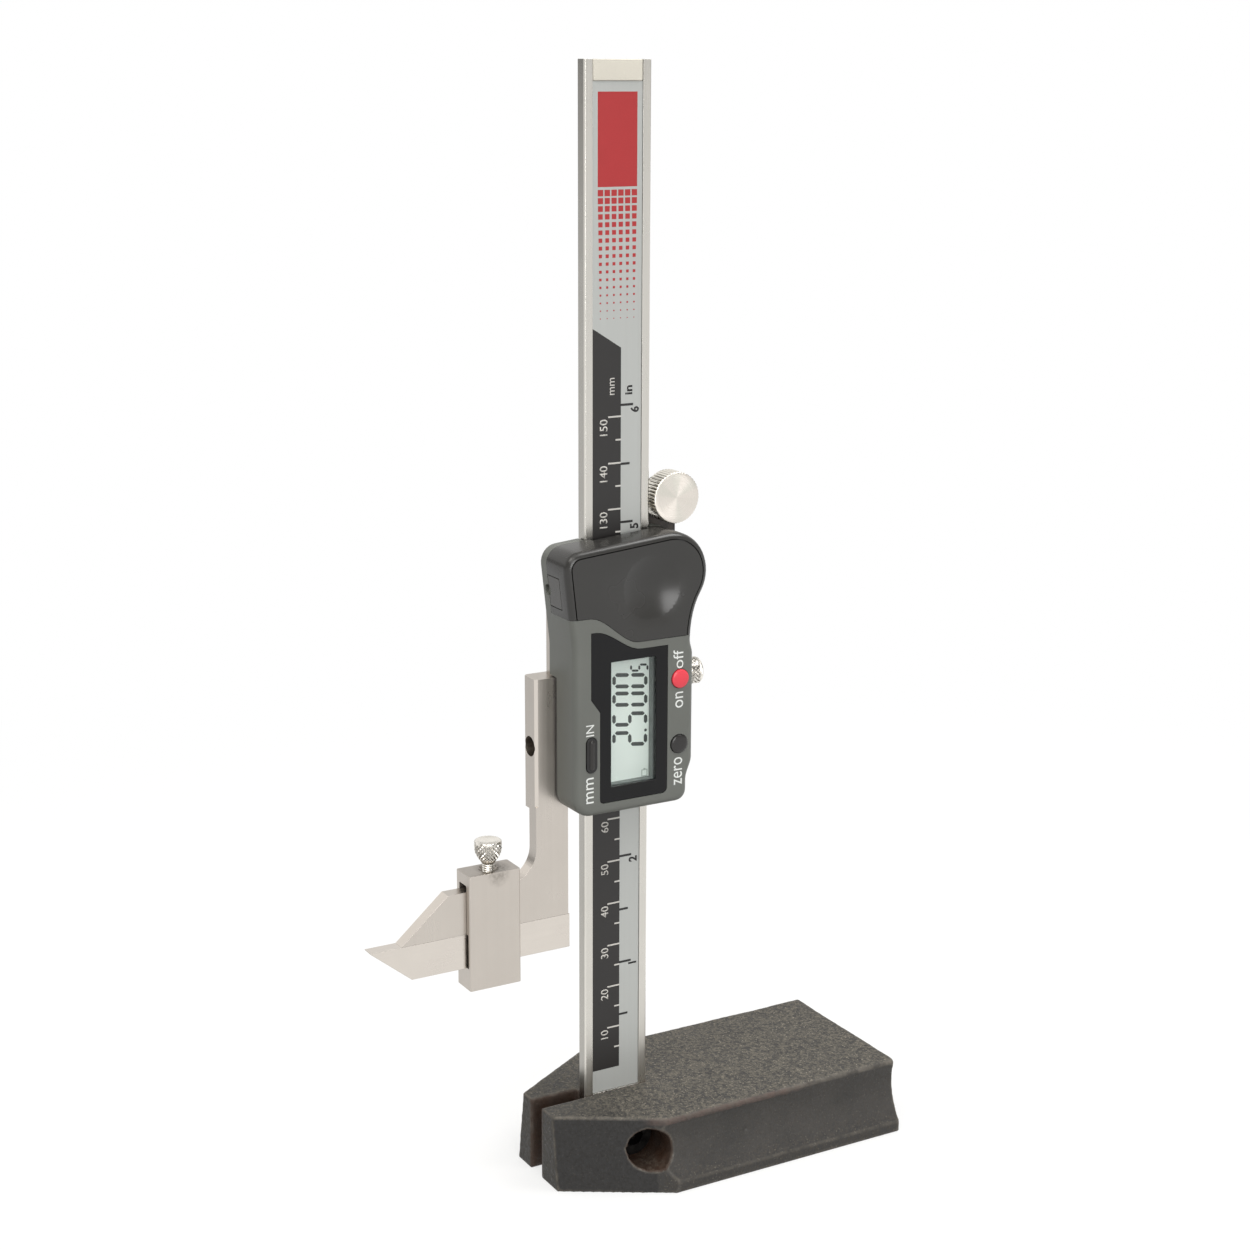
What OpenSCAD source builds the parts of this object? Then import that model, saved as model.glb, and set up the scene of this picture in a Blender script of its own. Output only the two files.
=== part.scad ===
// Height gauge: a slider with a digital display carries a jaw and a scriber,
// and runs on a scaled beam that stands in a cast base.
// The origin is the middle of the base's underside and +Z is up.
// +X runs along the base away from the scriber, and the display faces -Y.

/* [Base] */
// Length of the base
base_len = 84.5; // [76:0.5:110]
// Width of the base across its foot
foot_w = 46.8; // [45:0.2:56]
// Height of the base
base_h = 17.25; // [16:0.25:24]
// Width between the finger coves at their deepest
waist_w = 39.8; // [36:0.2:42]
// Radius of the finger coves along both sides
cove_r = 15; // [12:0.5:24]
// Width of the nose at the ground
nose_w = 19.2; // [15:0.2:24]
// Angle of the nose's chamfers, seen from above
nose_angle = 30.8; // [25:0.2:36]
// Width of the slit that the jaw's arm sinks into
slit_w = 4.9; // [4.4:0.1:6]
// Radius of the counterbore for the clamping screw
counterbore_r = 4.7; // [4.6:0.1:5.6]

/* [Beam] */
// Distance from the nose to the middle of the beam
beam_setback = 19.5; // [18:0.5:24]
// Width of the beam
beam_w = 16; // [15:0.5:18]
// Thickness of the beam
beam_t = 3; // [2.6:0.1:3.6]
// Height of the beam's top above the scale's zero
beam_top = 223.7; // [215:0.1:240]
// Height of the scale's zero above the ground
scale_zero_z = 22.65; // [22:0.05:26]
// Width of the groove that holds the scale
groove_w = 12; // [11:0.5:12.5]

/* [Slider] */
// Height of the slider above the scale's zero
slider_reading = 64.4; // [50:0.1:140]
// Distance from the beam's face to the front of the housing
housing_front = 9; // [8.5:0.1:11]
// Distance from the beam's face to the back edge of the housing
housing_back = 2.4; // [1.8:0.1:3]
// Rounding of the housing's front edge
front_round = 1.5; // [0.8:0.1:1.6]
// Wall of the housing
wall = 1.4; // [1.2:0.1:1.6]
// Thickness of the steel frame, measured behind the beam's face
frame_t = 5.5; // [5.2:0.1:6.5]

/* [Jaw and scriber] */
// Thickness of the arm, the jaw and the scriber
jaw_t = 3.2; // [2.8:0.1:3.6]
// Height of the jaw
jaw_h = 9.65; // [8:0.05:12]
// Height of the scriber
scriber_h = 7.85; // [6:0.05:9]
// Distance from the slider's origin down to the jaw's underside
jaw_drop = 24.65; // [22:0.05:30]
// Length of the scriber
scriber_len = 47.9; // [40:0.1:60]
// Width of the clamp along the jaw
clamp_w = 12.3; // [10:0.1:14]
// Radius of the bore in the arm's side
arm_bore_r = 2.25; // [1.5:0.05:2.3]

/* [Knobs and buttons] */
// Radius of the thumb wheel
wheel_r = 5.7; // [5:0.1:6.5]
// Thickness of the thumb wheel
wheel_t = 4.8; // [4:0.1:5]
// Radius of the knurled screw heads
knob_r = 3.05; // [2.8:0.05:3.4]
// Radius of the two round buttons
button_r = 2.1; // [1.7:0.05:2.1]
// Height of the buttons above the housing's face
button_rise = 0.25; // [0.2:0.05:1]

/* [Hidden] */
$fn = 64;
fit = 0.05;
cut = 0.5;

// Base
nose_x = -base_len / 2;
cove_z = 12.4;
top_round = 1.3;
nose_draft = 7;
slit_y = -beam_t / 2 - 0.3;
beam_x = nose_x + beam_setback;
beam_foot_z = 1.5;
clamp_x = beam_x - 0.7;
clamp_z = 9.8;
clamp_floor_y = -6.5;
clamp_shank_r = 2.45;
clamp_shank_end = 11;

// Beam, seen from its own frame: X from its middle, Y from its front face
beam_face_y = -beam_t / 2;
groove_depth = 1.2;
strip_t = 0.7;
label_t = 0.3;
groove_play = 0.05;
label_bottom = base_h - scale_zero_z + 0.1;
stop_h = 4.4;
rail_chamfer = 0.3;

// Slider, seen from its own frame: Z from just under the housing's lower edge
slider_z = scale_zero_z + slider_reading;
housing_left = 15.3;
housing_right = 14.4;
housing_foot_right = 13;
housing_foot = 0.35;
corner_r = 2.6;
left_corner_r = 4.2;
bulge = [8.65, 52];
bulge_r = 9.1;
shoulder = [-13.6, 55.4];
shoulder_r = 3.7;
top_slope = 5.2;
flank_slope = 6.45;
cap_middle = [2, 46];
seam_high = 44.5;
seam_low = 38.05;
seam_start = -11.6;
seam_end = 0.4;
seam_gap = 0.12;
scale_arch = [7, -1.7];
relief_z = 50;

// Display
bezel_left = -11.28;
bezel_step = -9.1;
bezel_right = 7.6;
bezel_bottom = 3.1;
bezel_high = 41.3;
bezel_low = 36.5;
bezel_slope = [-10.2, 1];
bezel_step_z = [23.6, 26.6];
bezel_t = 0.8;
window_x = [-6.4, 4.74];
window_z = [6.5, 34.4];
window_t = 0.6;
window_lap = 0.6;
glass_t = 1.9;
glass_front = -5.8;
glass_lap = 0.6;
frame_rim = 0.7;
tray_rim = glass_lap + frame_rim;
tray_x = [window_x[0] - tray_rim - 0.35, window_x[1] + tray_rim + 0.35];
tray_z = [window_z[0] - tray_rim - 0.15, window_z[1] + tray_rim - 0.15];
tray_gap = 0.1;

// Steel frame and electronics
frame_left = -12;
frame_right = 11;
plate_x = [-14.6, 11.7];
plate_front = housing_back + fit;
plate_chamfer = 0.25;
frame_bottom = 0.4;
frame_top = 57;
rail_front = -0.3;
board_t = 0.8;
board_face = rail_front - board_t;
gib_t = 1;
rail_mid_x = 10.05;
boss_left = -20.1;
boss_top = 30.1;
arm_right = -12.2;
arm_bore = [2.75, 14.65];
arm_bore_depth = 7;
lock_z = 26.7;
lock_r = 1.4;
gib_screw_r = 0.8;
gib_screw_z = [9.5, 47.5];
case_screw_z = [3.6, 53.6];
board_screw_z = [20, 40];
board_bottom = 2.2;
board_left = frame_left + 0.2;
port_left = -14.9;
case_screw_r = 0.7;
case_head_r = 1.2;
case_head_depth = 1.2;
board_screw_r = 0.7;
board_screw_x = 9.95;
bracket_screw_x = [7, 10];
bracket_screw_z = 51;

// Jaw, clamp and scriber
jaw_z = -jaw_drop;
jaw_top = jaw_z + jaw_h;
jaw_nose = -52.6;
jaw_slope = 11.1;
arm_fillet = 6.8;
clamp_right = -24.9;
clamp_y = [-1.6, 4.8];
clamp_window_y = [-0.12, 3.35];
clamp_window_r = 0.35;
clamp_recess_y = -0.8;
clamp_chamfer = 0.25;
clamp_foot = 5;
clamp_gap = 1.45;
clamp_head = 2.45;
sink_r = [1.6, 3];
sink_depth = 0.7;
clamp_mid_x = clamp_right - clamp_w / 2;
scriber_point = 9.5;
scriber_overhang = 0.3;

// Battery and port
battery = [4, 49.6];
battery_r = 5.8;
battery_t = 5.4;
battery_front = -6.7;
dimple = [3.6, 49.8];
dimple_r = 7.25;
dimple_depth = 1.6;
dimple_wall = 0.6;
cover_t = 1.2;
cover_rim = 1.25;
cover_gap = 0.25;
ledge_y = [-7.7, -6.9];
catch_x = [-12, 13.4];
catch_z = [48, 51];
catch_play = 0.4;
port_y = [-5.2, -0.1];
port_z = [46.3, 53];
port_gap = 0.15;
port_socket_x = -13.6;
notch_y = 0.35;
notch_r = 1.25;
notch_end_x = -16.1;

// Wheel
wheel_gap = 0.3;
wheel_x = beam_w / 2 + wheel_gap + wheel_r;
wheel_z = 67;
wheel_front = -1.6;
wheel_bore_r = 1.3;
bracket_t = 1.2;
bracket_r = 3.9;
bracket_reach = 10;
bracket_z = [47.5, 56, 58];

// Buttons
power_at = [10.75, 28.6];
zero_at = [10.6, 13.8];
unit_at = [-11.25, 14.4];
unit_size = [2.6, 7.9];
button_gap = 0.12;
unit_pad = [2.15, 4.9];
unit_stem = [1.2, 2.2];
stem_r = 0.9;
button_stem_end = -2.3;
dome_t = 0.35;

// Outline helpers
function arc(c, r, from, to, n) =
    [for (i = [0:n]) let (a = from + (to - from) * i / n) c + r * [cos(a), sin(a)]];
function ease(t) = t * t * (3 - 2 * t);
function clip(t) = min(1, max(0, t));
function bezier(a, b, c, n) =
    [for (i = [0:n]) let (t = i / n) (1 - t) * (1 - t) * a + 2 * t * (1 - t) * b + t * t * c];
function edge_normal(p, q) = let (d = q - p) [d[1], -d[0]] / norm(d);
function inset(pts, d) = let (n = len(pts))
    [for (i = [0:n - 1])
        let (before = edge_normal(pts[(i + n - 1) % n], pts[i]))
        let (after = edge_normal(pts[i], pts[(i + 1) % n]))
        pts[i] - (before + after) * d / (1 + before * after)];
function teeth(r, depth, n) =
    [for (i = [0:2 * n - 1]) (r - depth * (i % 2)) * [cos(180 * i / n), sin(180 * i / n)]];

// The seam between the black cover and the grey housing, and the bezel's top
function seam(x) = seam_low + (seam_high - seam_low)
    * (1 - ease(clip((x - seam_start) / (seam_end - seam_start))));
function bezel_top(x) = bezel_low + (bezel_high - bezel_low)
    * (1 - ease(clip((x - bezel_slope[0]) / (bezel_slope[1] - bezel_slope[0]))));

// The slider's outline from the front, counter-clockwise from its lower left
bulge_foot = bulge + bulge_r * [cos(-32), sin(-32)];
housing_outline = concat(
    arc([left_corner_r - housing_left, left_corner_r + housing_foot], left_corner_r, 180, 270, 7),
    arc([housing_foot_right - corner_r, corner_r + housing_foot], corner_r, 270, 360, 6),
    [for (i = [0:6]) [housing_foot_right + (housing_right - housing_foot_right) * ease(i / 6),
        5.2 + 5 * i / 6]],
    [for (i = [0:4]) [housing_right - 0.6 * ease(i / 4), 33.8 + 3 * i / 4]],
    bezier([housing_right - 0.6, 37.4], bulge_foot - [2.33, 3.73], bulge_foot, 6),
    arc(bulge, bulge_r, -28, 90 + top_slope, 18),
    arc(shoulder, shoulder_r, 90 + top_slope, 180 + flank_slope, 8),
    [[-15.47, 39], [-15.36, 38], [-housing_left - 0.01, 37]]
);

// Places things in the frame of the beam or of the slider
module on_beam() {
    translate([beam_x, beam_face_y, scale_zero_z]) children();
}

module on_slider() {
    translate([beam_x, beam_face_y, slider_z]) children();
}

// Extrudes an outline in X and Z from y0 to y1
module slab(y0, y1) {
    translate([0, y1, 0]) rotate([90, 0, 0]) linear_extrude(y1 - y0) children();
}

// Extrudes an outline in Y and Z from x0 to x1
module bar(x0, x1) {
    translate([x0, 0, 0]) rotate([90, 0, 90]) linear_extrude(x1 - x0) children();
}

// A box between two corners
module block(low, high) {
    translate(low) cube(high - low);
}

// Round rods along X and along Y
module rod_x(x0, x1, y, z, r) {
    translate([x0, y, z]) rotate([0, 90, 0]) cylinder(h = x1 - x0, r = r);
}

module rod_y(y0, y1, x, z, r) {
    translate([x, y1, z]) rotate([90, 0, 0]) cylinder(h = y1 - y0, r = r);
}

// The slider's whole outer form, with its front edge rounded
module housing_form(back) {
    steps = 5;
    rings = concat(
        [[back, 0]],
        [for (i = [0:steps]) let (a = 90 * i / steps)
            [front_round * (1 - sin(a)) - housing_front, front_round * (1 - cos(a))]]
    );
    n = len(housing_outline);
    front_ring = (len(rings) - 1) * n;
    walls = [for (ring = rings) for (p = inset(housing_outline, ring[1])) [p[0], ring[0], p[1]]];
    middles = [for (y = [back, -housing_front]) [cap_middle[0], y, cap_middle[1]]];
    sides = [for (k = [0:len(rings) - 2]) for (i = [0:n - 1])
        let (j = (i + 1) % n, low = k * n, high = (k + 1) * n)
        each [[low + j, low + i, high + i], [low + j, high + i, high + j]]];
    caps = [for (i = [0:n - 1])
        let (j = (i + 1) % n)
        each [[i, j, len(walls)], [front_ring + j, front_ring + i, len(walls) + 1]]];
    polyhedron(points = concat(walls, middles), faces = concat(sides, caps));
}

// The outline's part above the seam, lifted by a gap, or below it
module above_seam(gap) {
    polygon(concat([for (x = [-25:0.8:25]) [x, seam(x) + gap]], [[25, 90], [-25, 90]]));
}

module below_seam(gap) {
    polygon(concat([for (x = [-25:0.8:25]) [x, seam(x) - gap]], [[25, -10], [-25, -10]]));
}

// The outline, drawn in by a wall
module shell_outline(d) {
    polygon(inset(housing_outline, d));
}

// The bezel's outline, with its step beside the unit button
module bezel_outline(grow) {
    polygon(concat(
        arc([bezel_step + 0.8, bezel_bottom + 0.8], 0.8 + grow, 180, 270, 4),
        arc([bezel_right - 1.1, bezel_bottom + 1.1], 1.1 + grow, 270, 360, 4),
        [for (i = [0:15]) let (x = bezel_right - i * (bezel_right - bezel_left) / 15)
            [x + (i == 0 ? grow : i == 15 ? -grow : 0), bezel_top(x) + grow]],
        [[bezel_left - grow, bezel_step_z[1]], [bezel_step - grow, bezel_step_z[0]]]
    ));
}

// A rounded pill standing along Z
module pill(size) {
    r = size[0] / 2;
    for (s = [-1, 1]) translate([0, s * (size[1] / 2 - r)]) circle(r = r);
    square([size[0], size[1] - size[0]], center = true);
}

// Base

module cove_corner() {
    translate([waist_w / 2 + 0.8 - top_round, base_h - top_round]) difference() {
        square([4, top_round + 1]);
        circle(r = top_round);
    }
}

module base_section() {
    cove_y = waist_w / 2 + cove_r;
    difference() {
        translate([-foot_w / 2, 0]) square([foot_w, base_h]);
        for (s = [0, 1]) mirror([s, 0]) {
            translate([cove_y, cove_z]) circle(r = cove_r, $fn = 96);
            cove_corner();
        }
    }
}

module nose_cutter() {
    translate([nose_x, nose_w / 2, 0])
        rotate([0, 0, nose_angle])
            rotate([nose_draft, 0, 0])
                translate([-20, 0, -10]) cube([80, 40, 50]);
}

module base_block() {
    beam_left = beam_x - beam_w / 2;
    color("dimgray") difference() {
        bar(nose_x, -nose_x) base_section();
        nose_cutter();
        mirror([0, 1, 0]) nose_cutter();
        block([nose_x - cut, slit_y, -cut], [beam_left, slit_y + slit_w, base_h + cut]);
        block([beam_left - 0.01, beam_face_y - 0.01, beam_foot_z],
            [beam_left + beam_w + 0.01, -beam_face_y + 0.01, base_h + cut]);
        rod_y(-foot_w, clamp_floor_y, clamp_x, clamp_z, counterbore_r);
        rod_y(clamp_floor_y - cut, 0, clamp_x, clamp_z, clamp_shank_r + 0.3);
        rod_y(0, clamp_shank_end + 1, clamp_x, clamp_z, clamp_shank_r + fit);
    }
}

module base_clamp_screw() {
    head_h = 5;
    head_r = 4.25;
    color("silver") difference() {
        union() {
            rod_y(clamp_floor_y - head_h, clamp_floor_y, clamp_x, clamp_z, head_r);
            rod_y(clamp_floor_y - 0.1, clamp_shank_end, clamp_x, clamp_z, clamp_shank_r);
        }
        translate([clamp_x, clamp_floor_y - head_h + 2.6, clamp_z])
            rotate([90, 0, 0]) cylinder(h = 3, r = 2.3, $fn = 6);
    }
}

// Beam and scale

module beam_section() {
    c = rail_chamfer;
    w = beam_w / 2;
    g = groove_w / 2;
    polygon([
        [-w, c], [-w + c, 0], [-g, 0], [-g, groove_depth], [g, groove_depth], [g, 0],
        [w - c, 0], [w, c], [w, beam_t - c], [w - c, beam_t], [-w + c, beam_t], [-w, beam_t - c]
    ]);
}

module beam() {
    foot = beam_foot_z - scale_zero_z;
    color("lightgray") difference() {
        on_beam() {
            translate([0, 0, foot]) linear_extrude(beam_top - foot) beam_section();
            block([-groove_w / 2, 0, foot], [groove_w / 2, groove_depth, label_bottom - 0.1]);
        }
        rod_y(-beam_t, beam_t, clamp_x, clamp_z, clamp_shank_r + 0.3);
    }
}

module groove_strip(front, back, low, high) {
    w = groove_w / 2 - groove_play;
    on_beam() block([-w, front, low], [w, back, high]);
}

module scale_strip() {
    color("darkgreen")
        groove_strip(groove_depth - strip_t, groove_depth, label_bottom, beam_top - stop_h);
}

module scale_label() {
    front = groove_depth - strip_t - label_t;
    color("silver") groove_strip(front, front + label_t, label_bottom, beam_top - stop_h);
}

module end_stop() {
    w = groove_w / 2 - groove_play;
    c = rail_chamfer;
    color("beige") on_beam() translate([0, 0, beam_top - stop_h + fit])
        linear_extrude(stop_h - fit)
            polygon([[-w, groove_depth], [-w, c - 0.1], [-w + c, -0.1],
                [w - c, -0.1], [w, c - 0.1], [w, groove_depth]]);
}

// Slider: steel frame with the arm and the jaw

module jaw_outline() {
    fillet_at = [boss_left - arm_fillet, jaw_top + arm_fillet];
    polygon([
        [arm_right, jaw_z], [arm_right, frame_bottom + 1], [boss_left, frame_bottom + 1],
        [boss_left, jaw_top], [jaw_nose + jaw_slope, jaw_top], [jaw_nose, jaw_z]
    ]);
    difference() {
        translate([boss_left - arm_fillet, jaw_top]) square(arm_fillet);
        translate(fillet_at) circle(r = arm_fillet);
    }
}

module boss_section() {
    c = 0.6;
    polygon([
        [boss_left + c, 0], [frame_left, 0], [frame_left, frame_t],
        [boss_left + c, frame_t], [boss_left, frame_t - c], [boss_left, c]
    ]);
}

module plate_section() {
    c = plate_chamfer;
    polygon([
        [plate_x[0], plate_front], [plate_x[1], plate_front], [plate_x[1], frame_t - c],
        [plate_x[1] - c, frame_t], [plate_x[0] + c, frame_t], [plate_x[0], frame_t - c]
    ]);
}

// The two rails and the plate behind them, with the channel that the beam runs in
module frame_section() {
    difference() {
        union() {
            plate_section();
            translate([frame_left, rail_front])
                square([frame_right - frame_left, frame_t - rail_front - plate_chamfer]);
        }
        translate([-beam_w / 2 - fit, rail_front - cut])
            square([beam_w + gib_t + 3 * fit, beam_t + fit - rail_front + cut]);
    }
}

module frame_solid() {
    translate([0, 0, frame_bottom]) linear_extrude(frame_top - frame_bottom) frame_section();
    translate([0, 0, frame_bottom]) linear_extrude(boss_top - frame_bottom) boss_section();
    slab(0, jaw_t) jaw_outline();
}

module slider_frame() {
    color("gainsboro") on_slider() difference() {
        frame_solid();
        rod_x(boss_left - cut, boss_left + arm_bore_depth, arm_bore[0], arm_bore[1], arm_bore_r);
        rod_x(beam_w / 2, plate_x[1] + cut, beam_t / 2, lock_z, lock_r + fit);
        for (z = gib_screw_z)
            rod_x(beam_w / 2, plate_x[1] + cut, beam_t / 2, z, gib_screw_r + fit);
        for (x = [-rail_mid_x, rail_mid_x], z = case_screw_z) {
            rod_y(rail_front - cut, frame_t + cut, x, z, case_screw_r + 0.1);
            rod_y(frame_t - case_head_depth, frame_t + cut, x, z, case_head_r + 0.1);
        }
        for (x = [-board_screw_x, board_screw_x], z = board_screw_z)
            rod_y(rail_front - cut, 1.6, x, z, board_screw_r + fit);
        for (x = bracket_screw_x)
            rod_y(frame_t - 2, frame_t + cut, x, bracket_screw_z, 0.85);
    }
}

module gib_strip() {
    color("goldenrod") on_slider()
        block([beam_w / 2 + fit, 0.2, frame_bottom + 0.6],
            [beam_w / 2 + fit + gib_t, beam_t - 0.2, frame_top - 0.6]);
}

module gib_screws() {
    color("dimgray") on_slider() for (z = gib_screw_z) difference() {
        rod_x(beam_w / 2 + gib_t + 0.12, frame_right - 0.2, beam_t / 2, z, gib_screw_r);
        block([frame_right - 0.8, 0, z - 0.2], [frame_right + cut, beam_t, z + 0.2]);
    }
}

// Slider: plastic housing

// Room for the beam behind the housing's top edge
module beam_relief() {
    block([-beam_w / 2 - 0.4, -0.35, relief_z], [beam_w / 2 + 0.4, 4, relief_z + 20]);
}

module fingernail_notch() {
    rod_x(-19, notch_end_x, notch_y, (port_z[0] + port_z[1]) / 2, notch_r);
}

module screw_post(z, front, r) {
    for (x = [-rail_mid_x, rail_mid_x]) difference() {
        rod_y(front, board_face - fit, x, z, r);
        rod_y(front + 1, board_face + cut, x, z, case_screw_r + fit);
    }
}

module grey_shell() {
    intersection() {
        housing_form(housing_back);
        union() {
            slab(-housing_front - 1, housing_back + 1) below_seam(0);
            block([-25, 0, 30], [25, housing_back + 1, 90]);
        }
    }
}

module main_housing() {
    cavity_front = wall - housing_front;
    color([0.36, 0.37, 0.36]) on_slider() {
        difference() {
            grey_shell();
            slab(cavity_front, housing_back + cut) shell_outline(wall);
            slab(-housing_front - cut, bezel_t + 0.02 - housing_front) bezel_outline(0.08);
            block([tray_x[0] - tray_gap, -housing_front - cut, tray_z[0] - tray_gap],
                [tray_x[1] + tray_gap, cavity_front + cut, tray_z[1] + tray_gap]);
            for (at = [power_at, zero_at])
                rod_y(-housing_front - cut, cavity_front + 1, at[0], at[1], button_r + button_gap);
            translate([unit_at[0], 0, unit_at[1]]) slab(-housing_front - cut, cavity_front + cut)
                pill(unit_size + 2 * [button_gap, button_gap]);
            // Room for the arm's boss, the frame's lower end and the beam
            block([-housing_left - 1, -0.1, -1], [frame_left, 4, boss_top + 0.2]);
            block([frame_left - 0.1, -0.4, -1], [frame_right + 0.1, 4, corner_r + 0.2]);
            beam_relief();
            // The locking screw and the fingernail notch of the port's cover
            rod_x(frame_right, housing_right + cut, beam_t / 2, lock_z, lock_r + 0.5);
            fingernail_notch();
        }
        screw_post(case_screw_z[0], cavity_front - 0.3, 1.5);
    }
}

module top_cover() {
    color([0.12, 0.12, 0.12]) on_slider() {
        difference() {
            intersection() {
                housing_form(-fit);
                slab(-housing_front - 1, 0) above_seam(0.02);
            }
            slab(-housing_front - cut, ledge_y[0]) intersection() {
                shell_outline(cover_rim);
                above_seam(-5);
            }
            slab(ledge_y[1], cut) shell_outline(wall);
            rod_y(-housing_front, cut, battery[0], battery[1], battery_r + 0.4);
            // Slots for the battery cover's catches and the port's opening
            for (x = catch_x)
                block([x - 0.8, ledge_y[0] - cut, catch_z[0] - catch_play],
                    [x + 0.8, ledge_y[1] + cut, catch_z[1] + catch_play]);
            block([-19, port_y[0] - port_gap, port_z[0] - port_gap],
                [-15, cut, port_z[1] + port_gap]);
            // The arch over the scale, and room for the beam
            block([-scale_arch[0], scale_arch[1], relief_z + 5], [scale_arch[0], cut, relief_z + 20]);
            beam_relief();
        }
        intersection() {
            screw_post(case_screw_z[1], ledge_y[1] - 0.3, 1.4);
            slab(ledge_y[1] - 0.3, 0) shell_outline(wall - 0.3);
        }
    }
}

module battery_cover() {
    sphere_r = (dimple_r * dimple_r + dimple_depth * dimple_depth) / (2 * dimple_depth);
    face = -housing_front;
    color([0.15, 0.15, 0.15]) on_slider() difference() {
        union() {
            slab(face, face + cover_t) intersection() {
                shell_outline(cover_rim + cover_gap);
                above_seam(seam_gap);
            }
            intersection() {
                translate([dimple[0], face + dimple_depth - sphere_r, dimple[1]])
                    sphere(r = sphere_r + dimple_wall, $fn = 96);
                rod_y(face + 0.2, face + 4, battery[0], battery[1], battery_r + 0.2);
            }
            for (x = catch_x)
                block([x - 0.4, face + cover_t - 0.1, catch_z[0]], [x + 0.4, ledge_y[1] - 0.1, catch_z[1]]);
        }
        translate([dimple[0], face + dimple_depth - sphere_r, dimple[1]])
            sphere(r = sphere_r, $fn = 96);
    }
}

module port_cover() {
    color([0.13, 0.13, 0.13]) on_slider() difference() {
        intersection() {
            housing_form(-fit);
            block([-19, port_y[0], port_z[0]], [-housing_left - 0.45, port_y[1], port_z[1]]);
        }
        fingernail_notch();
    }
}

// Slider: display

module display_bezel() {
    face = -housing_front;
    color([0.07, 0.07, 0.07]) on_slider() difference() {
        slab(face, face + bezel_t) bezel_outline(0);
        block([window_x[0], face - cut, window_z[0]], [window_x[1], face + 2, window_z[1]]);
    }
}

module display_window() {
    face = bezel_t + 0.02 - housing_front;
    color([0.8, 0.9, 0.9, 0.3]) on_slider()
        block([window_x[0] - window_lap, face, window_z[0] - window_lap],
            [window_x[1] + window_lap, face + window_t, window_z[1] + window_lap]);
}

module display_frame() {
    front = bezel_t + 0.02 - housing_front;
    back = glass_front + glass_t;
    color([0.3, 0.3, 0.32]) on_slider() difference() {
        block([tray_x[0], front, tray_z[0]], [tray_x[1], back, tray_z[1]]);
        block([window_x[0] - window_lap - 0.05, front - cut, window_z[0] - window_lap - 0.05],
            [window_x[1] + window_lap + 0.05, front + window_t, window_z[1] + window_lap + 0.05]);
        block([window_x[0], front - cut, window_z[0]], [window_x[1], back + cut, window_z[1]]);
        block([window_x[0] - glass_lap - 0.3, glass_front - 0.03, window_z[0] - glass_lap],
            [window_x[1] + glass_lap + 0.3, back + cut, window_z[1] + glass_lap]);
    }
}

module lcd_glass() {
    play = 0.04;
    lap = glass_lap - play;
    color([0.7, 0.76, 0.72]) on_slider()
        block([window_x[0] - lap - 0.3, glass_front, window_z[0] - lap],
            [window_x[1] + lap + 0.3, glass_front + glass_t, window_z[1] + lap]);
}

module contact_strips() {
    w = 1.6;
    color("orange") on_slider() for (x = window_x)
        block([x - w / 2, glass_front + glass_t, window_z[0] + 0.5],
            [x + w / 2, board_face, window_z[1] - 0.5]);
}

module circuit_board() {
    color("green") on_slider() difference() {
        union() {
            block([board_left, board_face, board_bottom], [frame_right - 0.1, rail_front, frame_top - 0.4]);
            block([port_left + 0.3, board_face, port_z[0] + 0.3],
                [board_left + 0.1, rail_front, port_z[1] - 0.3]);
        }
        for (x = [-rail_mid_x, rail_mid_x], z = case_screw_z)
            rod_y(board_face - cut, cut, x, z, case_screw_r + 0.15);
        for (z = case_screw_z)
            block([rail_mid_x, board_face - cut, z - case_screw_r - 0.15],
                [frame_right, cut, z + case_screw_r + 0.15]);
        for (x = [-board_screw_x, board_screw_x], z = board_screw_z)
            rod_y(board_face - cut, cut, x, z, board_screw_r + 0.1);
    }
}

module board_screws() {
    color("silver") on_slider() for (x = [-board_screw_x, board_screw_x], z = board_screw_z)
        difference() {
            union() {
                rod_y(board_face - 0.6, board_face, x, z, 1.15);
                rod_y(board_face - 0.1, 1.5, x, z, board_screw_r);
            }
            block([x - 0.9, board_face - 0.6 - cut, z - 0.15], [x + 0.9, board_face - 0.3, z + 0.15]);
            block([x - 0.15, board_face - 0.6 - cut, z - 0.9], [x + 0.15, board_face - 0.3, z + 0.9]);
        }
}

module switch_domes() {
    at = [power_at - [stem_r, 0], zero_at - [stem_r, 0], unit_at + unit_stem];
    color("silver") on_slider() for (p = at)
        rod_y(board_face - dome_t, board_face, p[0], p[1], 1.1);
}

module battery_cell() {
    c = 0.35;
    color("lightsteelblue") on_slider()
        translate([battery[0], battery_front, battery[1]]) rotate([-90, 0, 0])
            rotate_extrude() polygon([
                [0, 0], [battery_r - c, 0], [battery_r, c], [battery_r, battery_t - 0.8],
                [battery_r - 0.8, battery_t - 0.4], [battery_r - 0.8, battery_t], [0, battery_t]
            ]);
}

module battery_contacts() {
    color("khaki") on_slider() {
        rod_y(battery_front + battery_t, board_face, battery[0], battery[1], 3.5);
        block([battery[0] - 2, battery_front + 1, battery[1] - battery_r - 0.35],
            [battery[0] + 2, board_face, battery[1] - battery_r - 0.1]);
    }
}

module output_port() {
    color([0.1, 0.1, 0.1]) on_slider() difference() {
        block([port_left, port_y[0] + 0.2, port_z[0] + 0.3], [board_left, board_face, port_z[1] - 0.3]);
        block([port_left - cut, port_y[0] + 0.9, port_z[0] + 1],
            [port_socket_x, board_face - 0.6, port_z[1] - 1]);
    }
}

module output_contacts() {
    pitch = 1.2;
    color("gold") on_slider() for (i = [0:3])
        block([port_socket_x - 0.35, port_y[0] + 1.2, port_z[0] + 1.35 + pitch * i],
            [port_socket_x, board_face - 0.9, port_z[0] + 2.05 + pitch * i]);
}

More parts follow.
